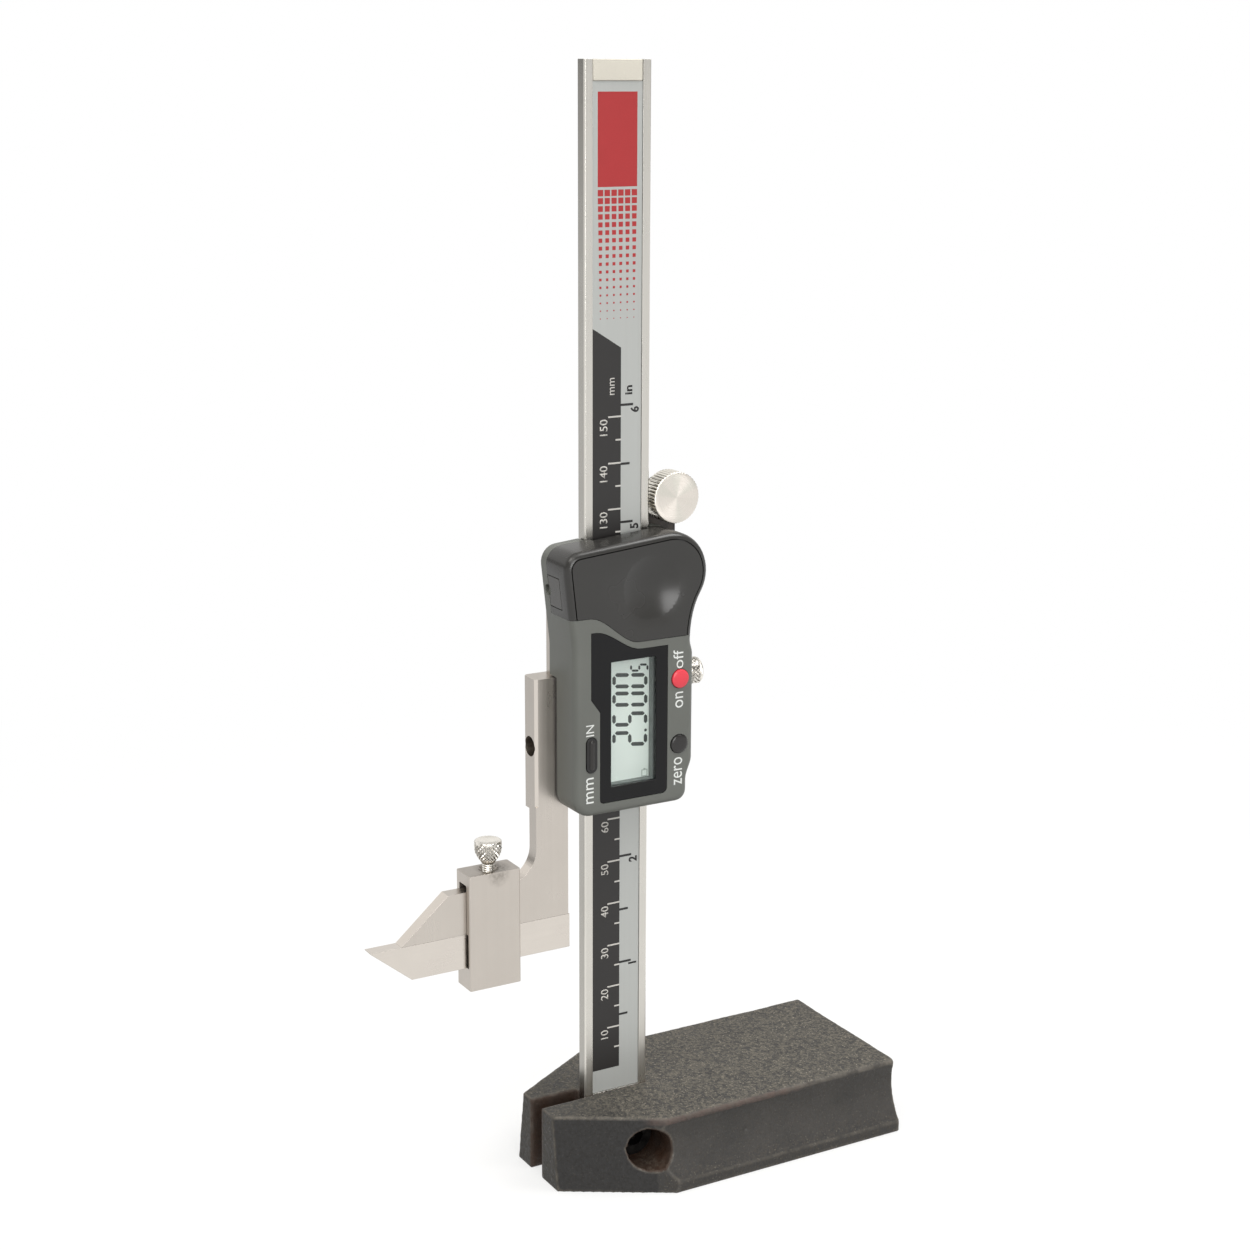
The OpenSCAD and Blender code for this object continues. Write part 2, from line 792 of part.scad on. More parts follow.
module housing_screws() {
    shank_end = [board_face - 4.6, board_face - 4.2];
    color("silver") on_slider() for (i = [0, 1], x = [-rail_mid_x, rail_mid_x]) difference() {
        union() {
            rod_y(frame_t - case_head_depth, frame_t - 0.15, x, case_screw_z[i], case_head_r);
            rod_y(shank_end[i], frame_t - 1, x, case_screw_z[i], case_screw_r);
        }
        for (size = [[0.8, 0.2], [0.2, 0.8]])
            block([x - size[0], frame_t - 0.7, case_screw_z[i] - size[1]],
                [x + size[0], frame_t + cut, case_screw_z[i] + size[1]]);
    }
}

// Slider: thumb wheel

module wheel_bracket() {
    color([0.16, 0.16, 0.16]) on_slider() difference() {
        union() {
            slab(frame_t, frame_t + bracket_t) {
                translate([wheel_x, wheel_z]) circle(r = bracket_r);
                polygon([
                    [wheel_x - bracket_r, wheel_z], [wheel_x - bracket_reach, bracket_z[1]],
                    [wheel_x - bracket_reach, bracket_z[0]], [frame_right, bracket_z[0]],
                    [wheel_x + bracket_r, bracket_z[2]], [wheel_x + bracket_r, wheel_z]
                ]);
            }
            rod_y(wheel_front + wheel_t + 0.15, frame_t + 0.1, wheel_x, wheel_z, 2.4);
        }
        rod_y(0, frame_t + bracket_t + cut, wheel_x, wheel_z, 1.25 + fit);
        for (x = bracket_screw_x)
            rod_y(frame_t - cut, frame_t + bracket_t + cut, x, bracket_screw_z, 0.95);
    }
}

module bracket_screws() {
    back = frame_t + bracket_t;
    z = bracket_screw_z;
    color("silver") on_slider() for (x = bracket_screw_x) difference() {
        union() {
            rod_y(back, back + 0.7, x, z, 1.35);
            rod_y(frame_t - 1.8, back + 0.1, x, z, 0.8);
        }
        block([x - 0.9, back + 0.3, z - 0.15], [x + 0.9, back + 1.5, z + 0.15]);
    }
}

module wheel_pin() {
    color("silver") on_slider()
        rod_y(wheel_front + 2, frame_t + bracket_t + 0.3, wheel_x, wheel_z, 1.25);
}

// A knurled disc with a chamfer at each end, standing on its face
module knurled_disc(r, h, tooth, count, c) {
    root = r - tooth - fit;
    translate([0, 0, c]) linear_extrude(h - 2 * c) polygon(teeth(r, tooth, count));
    rotate_extrude() polygon([[0, 0], [root - c, 0], [root, c], [root, h - c], [root - c, h], [0, h]]);
}

module thumb_wheel() {
    color("gainsboro") on_slider() translate([wheel_x, wheel_front + wheel_t, wheel_z])
        rotate([90, 0, 0]) difference() {
            knurled_disc(wheel_r, wheel_t, 0.3, 38, 0.15);
            translate([0, 0, -cut]) cylinder(h = wheel_t - 1.6 + cut, r = wheel_bore_r);
        }
}

// A knurled screw, with the head's face up and the shank below it
module knurled_screw(shank_len, neck, head) {
    cylinder(h = shank_len + 0.1, r = lock_r);
    translate([0, 0, shank_len]) cylinder(h = neck, r1 = lock_r, r2 = knob_r - 0.6);
    translate([0, 0, shank_len + neck]) knurled_disc(knob_r, head, 0.28, 20, 0.25);
}

module lock_screw() {
    start = beam_w / 2 + gib_t + 0.12;
    color("gainsboro") on_slider() translate([start, beam_t / 2, lock_z]) rotate([0, 90, 0])
        knurled_screw(15.4 - start, 2.2, 4);
}

// Buttons

module button(at, pad) {
    face = -housing_front - button_rise;
    on_slider() {
        rod_y(face, wall - housing_front + 0.2, at[0], at[1], button_r);
        block([pad[0], wall - housing_front + 0.15, at[1] - 2.5],
            [pad[1], wall - housing_front + 0.8, at[1] + 2.5]);
        rod_y(wall - housing_front + 0.5, button_stem_end, at[0] - stem_r, at[1], stem_r);
    }
}

module power_button() {
    color([0.85, 0.15, 0.18]) button(power_at, [8.3, 12.2]);
}

module zero_button() {
    color([0.14, 0.14, 0.14]) button(zero_at, [7.9, 12.2]);
}

module unit_button() {
    face = -housing_front - button_rise;
    flange = wall - housing_front + 0.15;
    color([0.14, 0.14, 0.14]) on_slider() {
        translate([unit_at[0], 0, unit_at[1]]) slab(face, flange + 0.05) pill(unit_size);
        block([unit_at[0] - unit_pad[0], flange, unit_at[1] - unit_pad[1]],
            [unit_at[0] + unit_pad[0], flange + 0.65, unit_at[1] + unit_pad[1]]);
        rod_y(flange + 0.4, button_stem_end, unit_at[0] + unit_stem[0], unit_at[1] + unit_stem[1], stem_r);
    }
}

// Clamp and scriber

module round_window(low, high, r) {
    for (y = [low[0] + r, high[0] - r], z = [low[1] + r, high[1] - r]) translate([y, z]) circle(r = r);
    translate([low[0] + r, low[1]]) square([high[0] - low[0] - 2 * r, high[1] - low[1]]);
    translate([low[0], low[1] + r]) square([high[0] - low[0], high[1] - low[1] - 2 * r]);
}

module scriber_clamp() {
    foot_z = jaw_z - scriber_h - clamp_foot;
    roof_z = jaw_top + clamp_gap;
    top_z = roof_z + clamp_head;
    c = clamp_chamfer;
    x0 = clamp_right - clamp_w;
    color("gainsboro") on_slider() difference() {
        translate([0, 0, foot_z]) linear_extrude(top_z - foot_z) polygon([
            [x0 + c, clamp_y[0]], [clamp_right - c, clamp_y[0]], [clamp_right, clamp_y[0] + c],
            [clamp_right, clamp_y[1] - c], [clamp_right - c, clamp_y[1]],
            [x0 + c, clamp_y[1]], [x0, clamp_y[1] - c], [x0, clamp_y[0] + c]
        ]);
        // The window fits the jaw, with square corners and a recess in front beside the scriber
        bar(x0 - cut, clamp_right + cut) {
            round_window([clamp_window_y[0], foot_z + clamp_foot], [clamp_window_y[1], roof_z],
                clamp_window_r);
            translate([clamp_recess_y, foot_z + clamp_foot])
                square([clamp_window_y[1] - clamp_recess_y, scriber_h]);
        }
        translate([clamp_mid_x, jaw_t / 2, roof_z - cut]) cylinder(h = 5, r = lock_r + fit);
        translate([clamp_mid_x, jaw_t / 2, top_z - sink_depth])
            cylinder(h = 2 * sink_depth, r1 = sink_r[0], r2 = sink_r[1]);
    }
}

module clamp_screw() {
    tip_z = jaw_top + 0.05;
    color("gainsboro") on_slider() translate([clamp_mid_x, jaw_t / 2, tip_z])
        knurled_screw(5.2, 1.8, 3.4);
}

module scriber() {
    end = arm_right + scriber_overhang;
    tip = end - scriber_len;
    color("gainsboro") on_slider() slab(0, jaw_t) polygon([
        [tip, jaw_z], [tip, jaw_z - 0.15], [tip + scriber_point, jaw_z - scriber_h],
        [end, jaw_z - scriber_h], [end, jaw_z]
    ]);
}

base_block();
beam();
scale_strip();
scale_label();
end_stop();
base_clamp_screw();
slider_frame();
gib_strip();
gib_screws();
main_housing();
top_cover();
display_bezel();
display_window();
display_frame();
lcd_glass();
contact_strips();
circuit_board();
board_screws();
switch_domes();
battery_cell();
battery_contacts();
output_port();
output_contacts();
housing_screws();
wheel_bracket();
bracket_screws();
wheel_pin();
thumb_wheel();
lock_screw();
power_button();
zero_button();
unit_button();
port_cover();
battery_cover();
scriber_clamp();
clamp_screw();
scriber();
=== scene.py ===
"""Looks of a small digital height gauge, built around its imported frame.

Everything is in metres in the part's own frame: the origin is the middle of the base's underside, +Z
runs up the beam and -Y faces the reader. Small sizes are written in millimetres and multiplied by MM.
"""

import math

import bmesh
import bpy
import numpy as np
from mathutils import Matrix, Vector
from mathutils import noise as smooth_noise

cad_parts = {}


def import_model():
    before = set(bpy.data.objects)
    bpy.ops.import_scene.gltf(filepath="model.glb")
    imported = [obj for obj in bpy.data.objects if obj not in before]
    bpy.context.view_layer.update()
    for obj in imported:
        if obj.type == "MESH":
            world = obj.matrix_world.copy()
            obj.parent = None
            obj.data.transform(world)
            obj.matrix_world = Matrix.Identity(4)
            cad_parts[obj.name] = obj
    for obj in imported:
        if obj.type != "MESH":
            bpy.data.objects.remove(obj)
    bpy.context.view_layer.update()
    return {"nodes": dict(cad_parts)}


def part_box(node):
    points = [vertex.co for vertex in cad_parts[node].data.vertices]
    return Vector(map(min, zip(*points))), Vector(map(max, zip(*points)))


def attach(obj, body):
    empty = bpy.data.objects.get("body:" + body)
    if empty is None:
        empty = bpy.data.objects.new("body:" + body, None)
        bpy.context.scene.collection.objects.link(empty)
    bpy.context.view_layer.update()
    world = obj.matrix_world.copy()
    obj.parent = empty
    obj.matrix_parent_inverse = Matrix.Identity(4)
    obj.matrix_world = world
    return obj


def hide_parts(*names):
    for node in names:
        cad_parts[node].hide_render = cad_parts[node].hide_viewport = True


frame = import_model()
NODES = frame["nodes"]
MM = 0.001

# Reference lines of the frame
BEAM_LOW, BEAM_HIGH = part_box("beam")
BEAM_X = (BEAM_LOW.x + BEAM_HIGH.x) / 2
BEAM_FACE = BEAM_LOW.y
LABEL_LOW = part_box("scale_label")[0]
LABEL_BELOW_ZERO = 5.3 * MM
SCALE_ZERO = LABEL_LOW.z + LABEL_BELOW_ZERO
HOUSING_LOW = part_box("main_housing")[0]
HOUSING_FOOT = 0.35 * MM
SLIDER_ZERO = HOUSING_LOW.z - HOUSING_FOOT
BASE_LOW, BASE_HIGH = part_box("base_block")


def srgb(red, green, blue):
    """A linear colour from the 0 to 255 values that it shows on a screen."""
    def linear(value):
        value = value / 255
        return value / 12.92 if value <= 0.04045 else ((value + 0.055) / 1.055) ** 2.4
    return (linear(red), linear(green), linear(blue), 1.0)


def add_object(name, data):
    """A new object in the scene."""
    made = bpy.data.objects.new(name, data)
    bpy.context.scene.collection.objects.link(made)
    return made


# Camera

CAMERA_AT = Vector((-0.2542963, -0.4088751, 0.2447301))
CAMERA_YAW = 0.5206307
CAMERA_PITCH = 0.2461945
CAMERA_ROLL = 0.0034802
CAMERA_LENS = 63.949


def add_camera():
    """The photograph's view: turned to the right of +Y by the yaw, and tipped down by the pitch."""
    forward = Vector((math.sin(CAMERA_YAW) * math.cos(CAMERA_PITCH),
                      math.cos(CAMERA_YAW) * math.cos(CAMERA_PITCH), -math.sin(CAMERA_PITCH)))
    level = Vector((math.cos(CAMERA_YAW), -math.sin(CAMERA_YAW), 0))
    upward = level.cross(forward)
    right = math.cos(CAMERA_ROLL) * level + math.sin(CAMERA_ROLL) * upward
    up = math.cos(CAMERA_ROLL) * upward - math.sin(CAMERA_ROLL) * level
    data = bpy.data.cameras.new("camera")
    data.lens = CAMERA_LENS
    data.sensor_width = 36
    data.clip_start = 0.01
    data.clip_end = 50
    camera = add_object("camera", data)
    camera.matrix_world = Matrix.Translation(CAMERA_AT) @ Matrix((right, up, -forward)).transposed().to_4x4()
    bpy.context.scene.camera = camera


# Node trees and materials

class Graph:
    """Short calls that add nodes to a tree."""

    def __init__(self, tree):
        self.tree = tree

    def give(self, socket, value):
        """Sets a socket to a value, or joins another node's output to it."""
        if isinstance(value, bpy.types.NodeSocket):
            self.tree.links.new(value, socket)
        else:
            socket.default_value = value

    def node(self, kind, inputs=None, **settings):
        """A new node, with its inputs by name or by place. ShaderNode is left off the kind."""
        made = self.tree.nodes.new(kind if "Node" in kind else "ShaderNode" + kind)
        for name, value in settings.items():
            setattr(made, name, value)
        for name, value in (inputs or {}).items():
            self.give(made.inputs[name], value)
        return made

    def math(self, operation, first, second):
        return self.node("Math", {0: first, 1: second}, operation=operation).outputs["Value"]

    def vector(self, operation, first, second=(0, 0, 0)):
        made = self.node("VectorMath", {0: first, 1: second}, operation=operation)
        return made.outputs["Value" if operation in ("LENGTH", "DISTANCE") else "Vector"]

    def spread(self, value, low, high, start=0.35, end=0.65, **settings):
        """Maps the stretch from start to end of a value on low to high."""
        inputs = {"Value": value, "From Min": start, "From Max": end, "To Min": low, "To Max": high}
        return self.node("MapRange", inputs, **settings).outputs["Result"]

    def rays(self, *kinds):
        """1 for rays of these kinds and 0 for the others."""
        path = self.node("LightPath")
        seen = path.outputs[kinds[0]]
        for kind in kinds[1:]:
            seen = self.math("MAXIMUM", seen, path.outputs[kind])
        return seen


class Recipe(Graph):
    """A material with one shader, and short calls for the textures that feed it."""

    def __init__(self, name, color, roughness, metallic=0.0, **sockets):
        self.material = bpy.data.materials.new(name)
        self.material.use_nodes = True
        super().__init__(self.material.node_tree)
        self.shader = self.tree.nodes["Principled BSDF"]
        self.color = color
        self.height = None
        sockets = {"Base Color": color, "Roughness": roughness, "Metallic": metallic, **sockets}
        for socket, value in sockets.items():
            self.feed(socket, value)

    def feed(self, socket, value):
        """Gives the shader's socket a value or a texture."""
        self.give(self.shader.inputs[socket], value)

    def place(self, stretch=(1, 1, 1)):
        """Object coordinates, in metres, stretched along the axes."""
        coordinates = self.node("TexCoord").outputs["Object"]
        return self.node("Mapping", {"Scale": stretch, "Vector": coordinates}).outputs["Vector"]

    def noise(self, scale, detail=2.0, roughness=0.5, stretch=(1, 1, 1)):
        inputs = {"Scale": scale, "Detail": detail, "Roughness": roughness, "Vector": self.place(stretch)}
        return self.node("TexNoise", inputs).outputs["Fac"]

    def stored(self, name):
        """A value from 0 to 1 that is kept on the mesh's own points."""
        return self.node("Attribute", attribute_name=name).outputs["Fac"]

    def blend(self, factor, first, second):
        """A colour between two, each a colour or a texture's output."""
        made = self.node("Mix", {"Factor": factor}, data_type="RGBA")
        for socket, value in zip([s for s in made.inputs if s.type == "RGBA"], (first, second)):
            self.give(socket, value)
        return next(s for s in made.outputs if s.type == "RGBA")

    def shades(self, value, dark, light, start=0.35, end=0.65):
        """The recipe's own colour, times dark to light as a texture goes from start to end."""
        factor = self.spread(value, 0, 1, start, end)
        return self.blend(factor, tint(self.color, dark), tint(self.color, light))

    def layer(self, body, value, most, color, start=0.35, end=0.65):
        """Lays a colour over the body, by nothing to a share of most as a texture goes from start to end."""
        return self.blend(self.spread(value, 0, most, start, end), body, color)

    def relief(self, height, depth):
        """Adds a bump whose full height is depth, in metres."""
        made = self.node("Bump", {"Strength": 1.0, "Distance": depth, "Height": height})
        if self.height is not None:
            self.give(made.inputs["Normal"], self.height)
        self.height = made.outputs["Normal"]
        self.feed("Normal", self.height)

    def finish(self, color, roughness, height=None, depth=0):
        """Feeds the colour, the roughness and a bump, and gives the material."""
        self.feed("Base Color", color)
        self.feed("Roughness", roughness)
        if height is not None:
            self.relief(height, depth)
        return self.material

    def facing(self, axes):
        """1 on faces that look along one of the axes, either way, and 0 on the others."""
        normal = self.node("NewGeometry").outputs["True Normal"]
        parts = self.node("SeparateXYZ", {"Vector": normal})
        most = 0
        for axis in axes:
            most = self.math("MAXIMUM", self.math("ABSOLUTE", parts.outputs[axis], 0), most)
        return self.spread(most, 0, 1, 0.8, 0.97)


def tint(color, factor):
    """The colour, lighter or darker by a factor."""
    return tuple(min(1.0, c * factor) for c in color[:3]) + (1.0,)


# The whole range of a value that is kept on the mesh
WHOLE = {"start": 0, "end": 1}


def cast_iron():
    """Rough sand-cast skin with pale grains, painted light on its top faces, darker smooth coves, painted
    shade on the nose, rubbed edges and rusty recesses.
    """
    recipe = Recipe("cast_iron", srgb(44, 42, 40), 0.62)
    top = recipe.stored("top")
    mottle = recipe.noise(70, 4, 0.65)
    grain = recipe.noise(1250, 3, 0.7)
    # Painted light: the grains' colour is lighter on top faces than on the sides, as if lit from above
    skin = recipe.layer(srgb(60, 56, 51), top, 1, srgb(101, 96, 86), **WHOLE)
    body = recipe.layer(recipe.shades(mottle, 0.66, 1.1), grain, 1, skin, 0.4, 0.62)
    body = recipe.layer(body, recipe.noise(2100, 2), 0.5, srgb(26, 25, 23), 0.52, 0.68)
    # Pale flecks, more of them on top faces: painted light from above
    speck = recipe.spread(recipe.noise(2300, 1, 0.4), 0, 0.75, 0.64, 0.74)
    fleck = recipe.math("MULTIPLY", speck, recipe.spread(top, 0.3, 1, **WHOLE))
    body = recipe.blend(fleck, body, srgb(146, 139, 124))
    pale = recipe.layer(srgb(42, 41, 39), mottle, 1, srgb(60, 57, 54))
    body = recipe.layer(body, recipe.stored("smooth"), 0.58, pale, **WHOLE)
    # Painted shade on the nose, and a darker top towards its end
    body = recipe.layer(body, recipe.stored("painted_nose_shade"), 0.8, srgb(24, 23, 23), **WHOLE)
    for share, scale, detail, least, color in (
        (recipe.spread(recipe.stored("edge"), 0, 0.6, 0.2, 0.9), 420, 3, 0.2, srgb(112, 106, 97)),
        (recipe.stored("lip"), 500, 3, 0.4, srgb(86, 72, 66)),
        (recipe.stored("recess"), 260, 4, 0.6, srgb(54, 34, 20)),
    ):
        patchy = recipe.spread(recipe.noise(scale, detail), least, 1)
        body = recipe.blend(recipe.math("MULTIPLY", share, patchy), body, color)
    recipe.relief(recipe.noise(700, 3, 0.6), 0.12 * MM)
    return recipe.finish(body, recipe.spread(grain, 0.5, 0.78), grain, 0.1 * MM)


# Stretches of the scratches in ground steel: they run along the axis whose number is small
ALONG_X = (16, 1500, 1500)
ALONG_Z = (1500, 1500, 16)
NO_WAY = (900, 900, 900)
DARK_SPOT_REACH = (1.6 * MM, 4.4 * MM)


def ground_steel(name, color, grain, roughness=0.36, lines=0.0004 * MM, sides=1, tops=1, edges=1, darkened_spot=None):
    """Fine-ground steel whose scratches follow grain and are lines deep.

    Sides and tops tint the faces along X and Z as painted shade, edges tints the bevels as painted highlight
    above 1 and painted shade below it, and a darker brownish patch lies round the given place.
    """
    recipe = Recipe(name, color, roughness, 1.0)
    fine = recipe.noise(1.0, 3, 0.6, grain)
    cloud = recipe.noise(110, 3, 0.55)
    body = recipe.layer(recipe.shades(fine, 0.975, 1.02, 0.25, 0.75), cloud, 0.45, tint(color, 0.94))
    # Painted highlight on the bevels where edges is above 1, painted shade where it is below
    if edges != 1:
        body = recipe.blend(recipe.facing("XYZ"), tint(color, edges), body)
    # Painted shade on the faces along X and on the faces along Z
    for axis, share in (("X", sides), ("Z", tops)):
        if share != 1:
            body = recipe.blend(recipe.facing(axis), body, tint(color, share))
    # A darker brownish patch round the given place, patchy with noise
    if darkened_spot is not None:
        close = recipe.spread(recipe.vector("DISTANCE", recipe.place(), darkened_spot), 1, 0, *DARK_SPOT_REACH)
        patchy = recipe.spread(recipe.noise(1500, 3), 0.3, 1)
        body = recipe.blend(recipe.math("MULTIPLY", close, patchy), body, srgb(70, 62, 52))
    uneven = recipe.spread(cloud, roughness - 0.03, roughness + 0.04)
    return recipe.finish(body, recipe.math("ADD", recipe.spread(fine, -0.02, 0.02), uneven), fine, lines)


def moulded_plastic(name, color, roughness, grain=0.006 * MM, wear=1.12, painted_shade_corner=None):
    """Spark-eroded moulding texture with a slight unevenness of colour and gloss.

    Painted shade darkens it left of, behind and under the given corner, for the gap beside the slider frame.
    """
    recipe = Recipe(name, color, roughness)
    texture = recipe.noise(5200, 2, 0.5)
    cloud = recipe.noise(70, 3, 0.5)
    body = recipe.layer(recipe.shades(cloud, 0.95, 1.05, 0.3, 0.7), texture, 0.25, tint(color, wear))
    if painted_shade_corner is not None:
        # Painted shade in the gap between the housing and the slider frame
        parts = recipe.node("SeparateXYZ", {"Vector": recipe.place()}).outputs
        painted_gap_shade = recipe.spread(parts["Y"], 0, 0.95, painted_shade_corner.y - 0.15 * MM, painted_shade_corner.y)
        for axis, limit in (("X", painted_shade_corner.x), ("Z", painted_shade_corner.z)):
            painted_gap_shade = recipe.math("MULTIPLY", painted_gap_shade, recipe.spread(parts[axis], 1, 0, limit - 0.05 * MM, limit))
        body = recipe.blend(painted_gap_shade, body, srgb(22, 21, 20))
    uneven = recipe.spread(cloud, roughness - 0.04, roughness + 0.05, 0.3, 0.7)
    return recipe.finish(body, uneven, texture, grain)


def gloss_plastic():
    """Polished black bezel with a trace of wipe marks."""
    recipe = Recipe("bezel_gloss", srgb(22, 22, 23), 0.12, **{"Specular IOR Level": 0.22})
    wipe = recipe.noise(60, 4, 0.6, (1, 1, 0.3))
    body = recipe.layer(srgb(20, 20, 21), wipe, 1, srgb(25, 25, 26))
    return recipe.finish(body, recipe.spread(wipe, 0.08, 0.2), recipe.noise(900, 2), 0.001 * MM)


def clear_window():
    """Thin clear cover over the display."""
    recipe = Recipe("clear_window", srgb(236, 242, 240), 0.04, **{"Alpha": 0.03, "Specular IOR Level": 0.4})
    recipe.feed("Roughness", recipe.spread(recipe.noise(80, 3), 0.03, 0.08))
    return recipe.material


def display_reflector():
    """Pale green-grey liquid crystal with a faint grain of its reflector."""
    recipe = Recipe("display_reflector", srgb(229, 241, 234), 0.42)
    grain = recipe.noise(6000, 1)
    body = recipe.shades(recipe.noise(90, 2), 0.96, 1.03)
    body = recipe.layer(body, grain, 0.3, tint(recipe.color, 0.92))
    return recipe.finish(body, recipe.spread(grain, 0.38, 0.5))


def printed_foil():
    """Silver-grey printed label with a lengthwise brushed sheen."""
    recipe = Recipe("printed_foil", srgb(184, 186, 183), 0.42, 0.35)
    streak = recipe.noise(1.0, 3, 0.6, (2600, 2600, 18))
    body = recipe.shades(streak, 0.985, 1.01)
    return recipe.finish(body, recipe.spread(streak, 0.4, 0.46), streak, 0.0003 * MM)


def ink(name, color, roughness=0.5):
    """Screen-printed ink, a little uneven from the screen's mesh."""
    recipe = Recipe(name, color, roughness)
    screen = recipe.noise(7000, 2)
    body = recipe.layer(recipe.shades(screen, 0.94, 1.04), recipe.noise(300, 2), 0.4, tint(color, 0.92))
    return recipe.finish(body, recipe.spread(screen, roughness - 0.06, roughness + 0.08))


def bright_knurl(name, color, groove):
    """Nickel-plated knurling whose grooves are painted darker, as painted shade."""
    recipe = Recipe(name, color, 0.2, 1.0)
    cloud = recipe.noise(900, 2)
    # Painted shade: the colour darkens with each groove's depth
    body = recipe.layer(recipe.shades(cloud, 0.94, 1.05), recipe.stored("groove"), 0.92, groove, 0.35, 1)
    return recipe.finish(body, recipe.spread(cloud, 0.16, 0.3), recipe.noise(4200, 2), 0.004 * MM)


def turned_face(name, center):
    """Lathe-turned end face: fine rings round its axis, which runs along Y, and broad sectors round it
    painted warmer and lighter as a painted sheen.
    """
    recipe = Recipe(name, srgb(224, 220, 210), 0.3, 1.0, Anisotropic=0.6)
    outward = recipe.vector("MULTIPLY", recipe.vector("SUBTRACT", recipe.place(), center), (1, 0, 1))
    inputs = {"Scale": 6000, "Detail": 3, "W": recipe.vector("LENGTH", outward)}
    rings = recipe.node("TexNoise", inputs, noise_dimensions="1D").outputs["Fac"]
    # Painted sheen: broad sectors round the axis, warmer and lighter, for the turned face's reflection
    inputs = {"Scale": 1.3, "Detail": 1, "Vector": recipe.vector("NORMALIZE", outward)}
    painted_sheen_sectors = recipe.node("TexNoise", inputs).outputs["Fac"]
    body = recipe.layer(recipe.shades(rings, 0.98, 1.01), painted_sheen_sectors, 1, srgb(232, 225, 216), 0.42, 0.58)
    tangent = recipe.node("Tangent", direction_type="RADIAL", axis="Y")
    recipe.feed("Tangent", tangent.outputs["Tangent"])
    return recipe.finish(body, recipe.spread(rings, 0.26, 0.36), rings, 0.0008 * MM)


def black_oxide(name, shade):
    """Blackened sheet steel with a mottled, slightly worn film."""
    recipe = Recipe(name, tint(srgb(46, 44, 42), shade), 0.38, 0.6)
    film = recipe.noise(420, 4, 0.6)
    dark, worn = (tint(color, shade) for color in (srgb(36, 34, 33), srgb(62, 58, 54)))
    body = recipe.layer(dark, film, 1, worn)
    return recipe.finish(body, recipe.spread(film, 0.3, 0.5), recipe.noise(2400, 2), 0.004 * MM)


def solder_mask():
    """Green circuit board with copper tracks under the mask."""
    recipe = Recipe("solder_mask", srgb(28, 96, 52), 0.3)
    sizes = {"Scale": 420, "Mortar Size": 0.06, "Row Height": 0.4, "Brick Width": 2.2}
    tracks = recipe.node("TexBrick", {"Vector": recipe.place(), **sizes}).outputs["Fac"]
    return recipe.finish(recipe.blend(tracks, srgb(26, 92, 50), srgb(52, 128, 70)), 0.3, tracks, 0.03 * MM)


def zebra_rubber():
    """Contact strip: thin conducting layers between insulating ones."""
    recipe = Recipe("zebra_rubber", srgb(196, 120, 96), 0.7)
    inputs = {"Vector": recipe.place(), "Scale": 900, "Distortion": 0.3}
    layers = recipe.node("TexWave", inputs, bands_direction="Z").outputs["Fac"]
    return recipe.finish(recipe.blend(layers, srgb(52, 40, 38), srgb(206, 130, 104)), 0.7, layers, 0.01 * MM)


# Modifiers that finish the edges of a frame node and leave its mesh as it is

SMOOTH_ANGLE = math.radians(35)


def smooth_group():
    """A node group that shades faces smooth, apart from edges sharper than SMOOTH_ANGLE."""
    tree = bpy.data.node_groups.new("smooth_below_angle", "GeometryNodeTree")
    for way in ("INPUT", "OUTPUT"):
        tree.interface.new_socket("Geometry", in_out=way, socket_type="NodeSocketGeometry")
    graph = Graph(tree)
    angle = graph.node("GeometryNodeInputMeshEdgeAngle").outputs["Unsigned Angle"]
    sharper = graph.node("FunctionNodeCompare", {0: angle, 1: SMOOTH_ANGLE}, operation="GREATER_THAN")
    mesh = graph.node("NodeGroupInput").outputs["Geometry"]
    at_edges = {"Selection": sharper.outputs["Result"], "Shade Smooth": False}
    for domain, inputs in (("FACE", {}), ("EDGE", at_edges)):
        shade = graph.node("GeometryNodeSetShadeSmooth", {"Geometry": mesh, **inputs}, domain=domain)
        mesh = shade.outputs["Geometry"]
    graph.node("NodeGroupOutput", {"Geometry": mesh})
    return tree


SMOOTH = smooth_group()


def modify(piece, name, kind, **settings):
    """Gives a piece a modifier."""
    made = piece.modifiers.new(name, kind)
    for setting, value in settings.items():
        setattr(made, setting, value)


def smooth_shading(piece):
    modify(piece, "smooth_shading", "NODES", node_group=SMOOTH)


def weld(piece):
    """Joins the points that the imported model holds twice."""
    modify(piece, "weld", "WELD", merge_threshold=0.002 * MM)


FLAT_ANGLE = math.radians(0.6)
BEVEL_ANGLE = math.radians(32)


def soften_edges(piece, width, segments):
    """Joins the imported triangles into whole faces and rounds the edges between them."""
    weld(piece)
    modify(piece, "whole_faces", "DECIMATE", decimate_type="DISSOLVE", angle_limit=FLAT_ANGLE)
    modify(piece, "edge_round", "BEVEL", width=width, segments=segments, limit_method="ANGLE",
           angle_limit=BEVEL_ANGLE, miter_outer="MITER_ARC", harden_normals=False)
    smooth_shading(piece)
    modify(piece, "flat_faces", "WEIGHTED_NORMAL", keep_sharp=True)


def dress(node, material):
    """Gives a frame node its material."""
    piece = NODES[node]
    piece.data.materials.clear()
    piece.data.materials.append(material)
    return piece


# Meshes of new pieces

def taken_mesh(piece):
    """The mesh of an object with its modifiers applied. The object itself goes."""
    mesh = bpy.data.meshes.new_from_object(piece.evaluated_get(bpy.context.evaluated_depsgraph_get()))
    bpy.data.objects.remove(piece)
    return mesh


def new_piece(name, mesh, body, material):
    """Adds an object that rides on a body, with the given material if there is one."""
    piece = add_object(name, mesh)
    if material is not None:
        mesh.materials.append(material)
    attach(piece, body)
    return piece


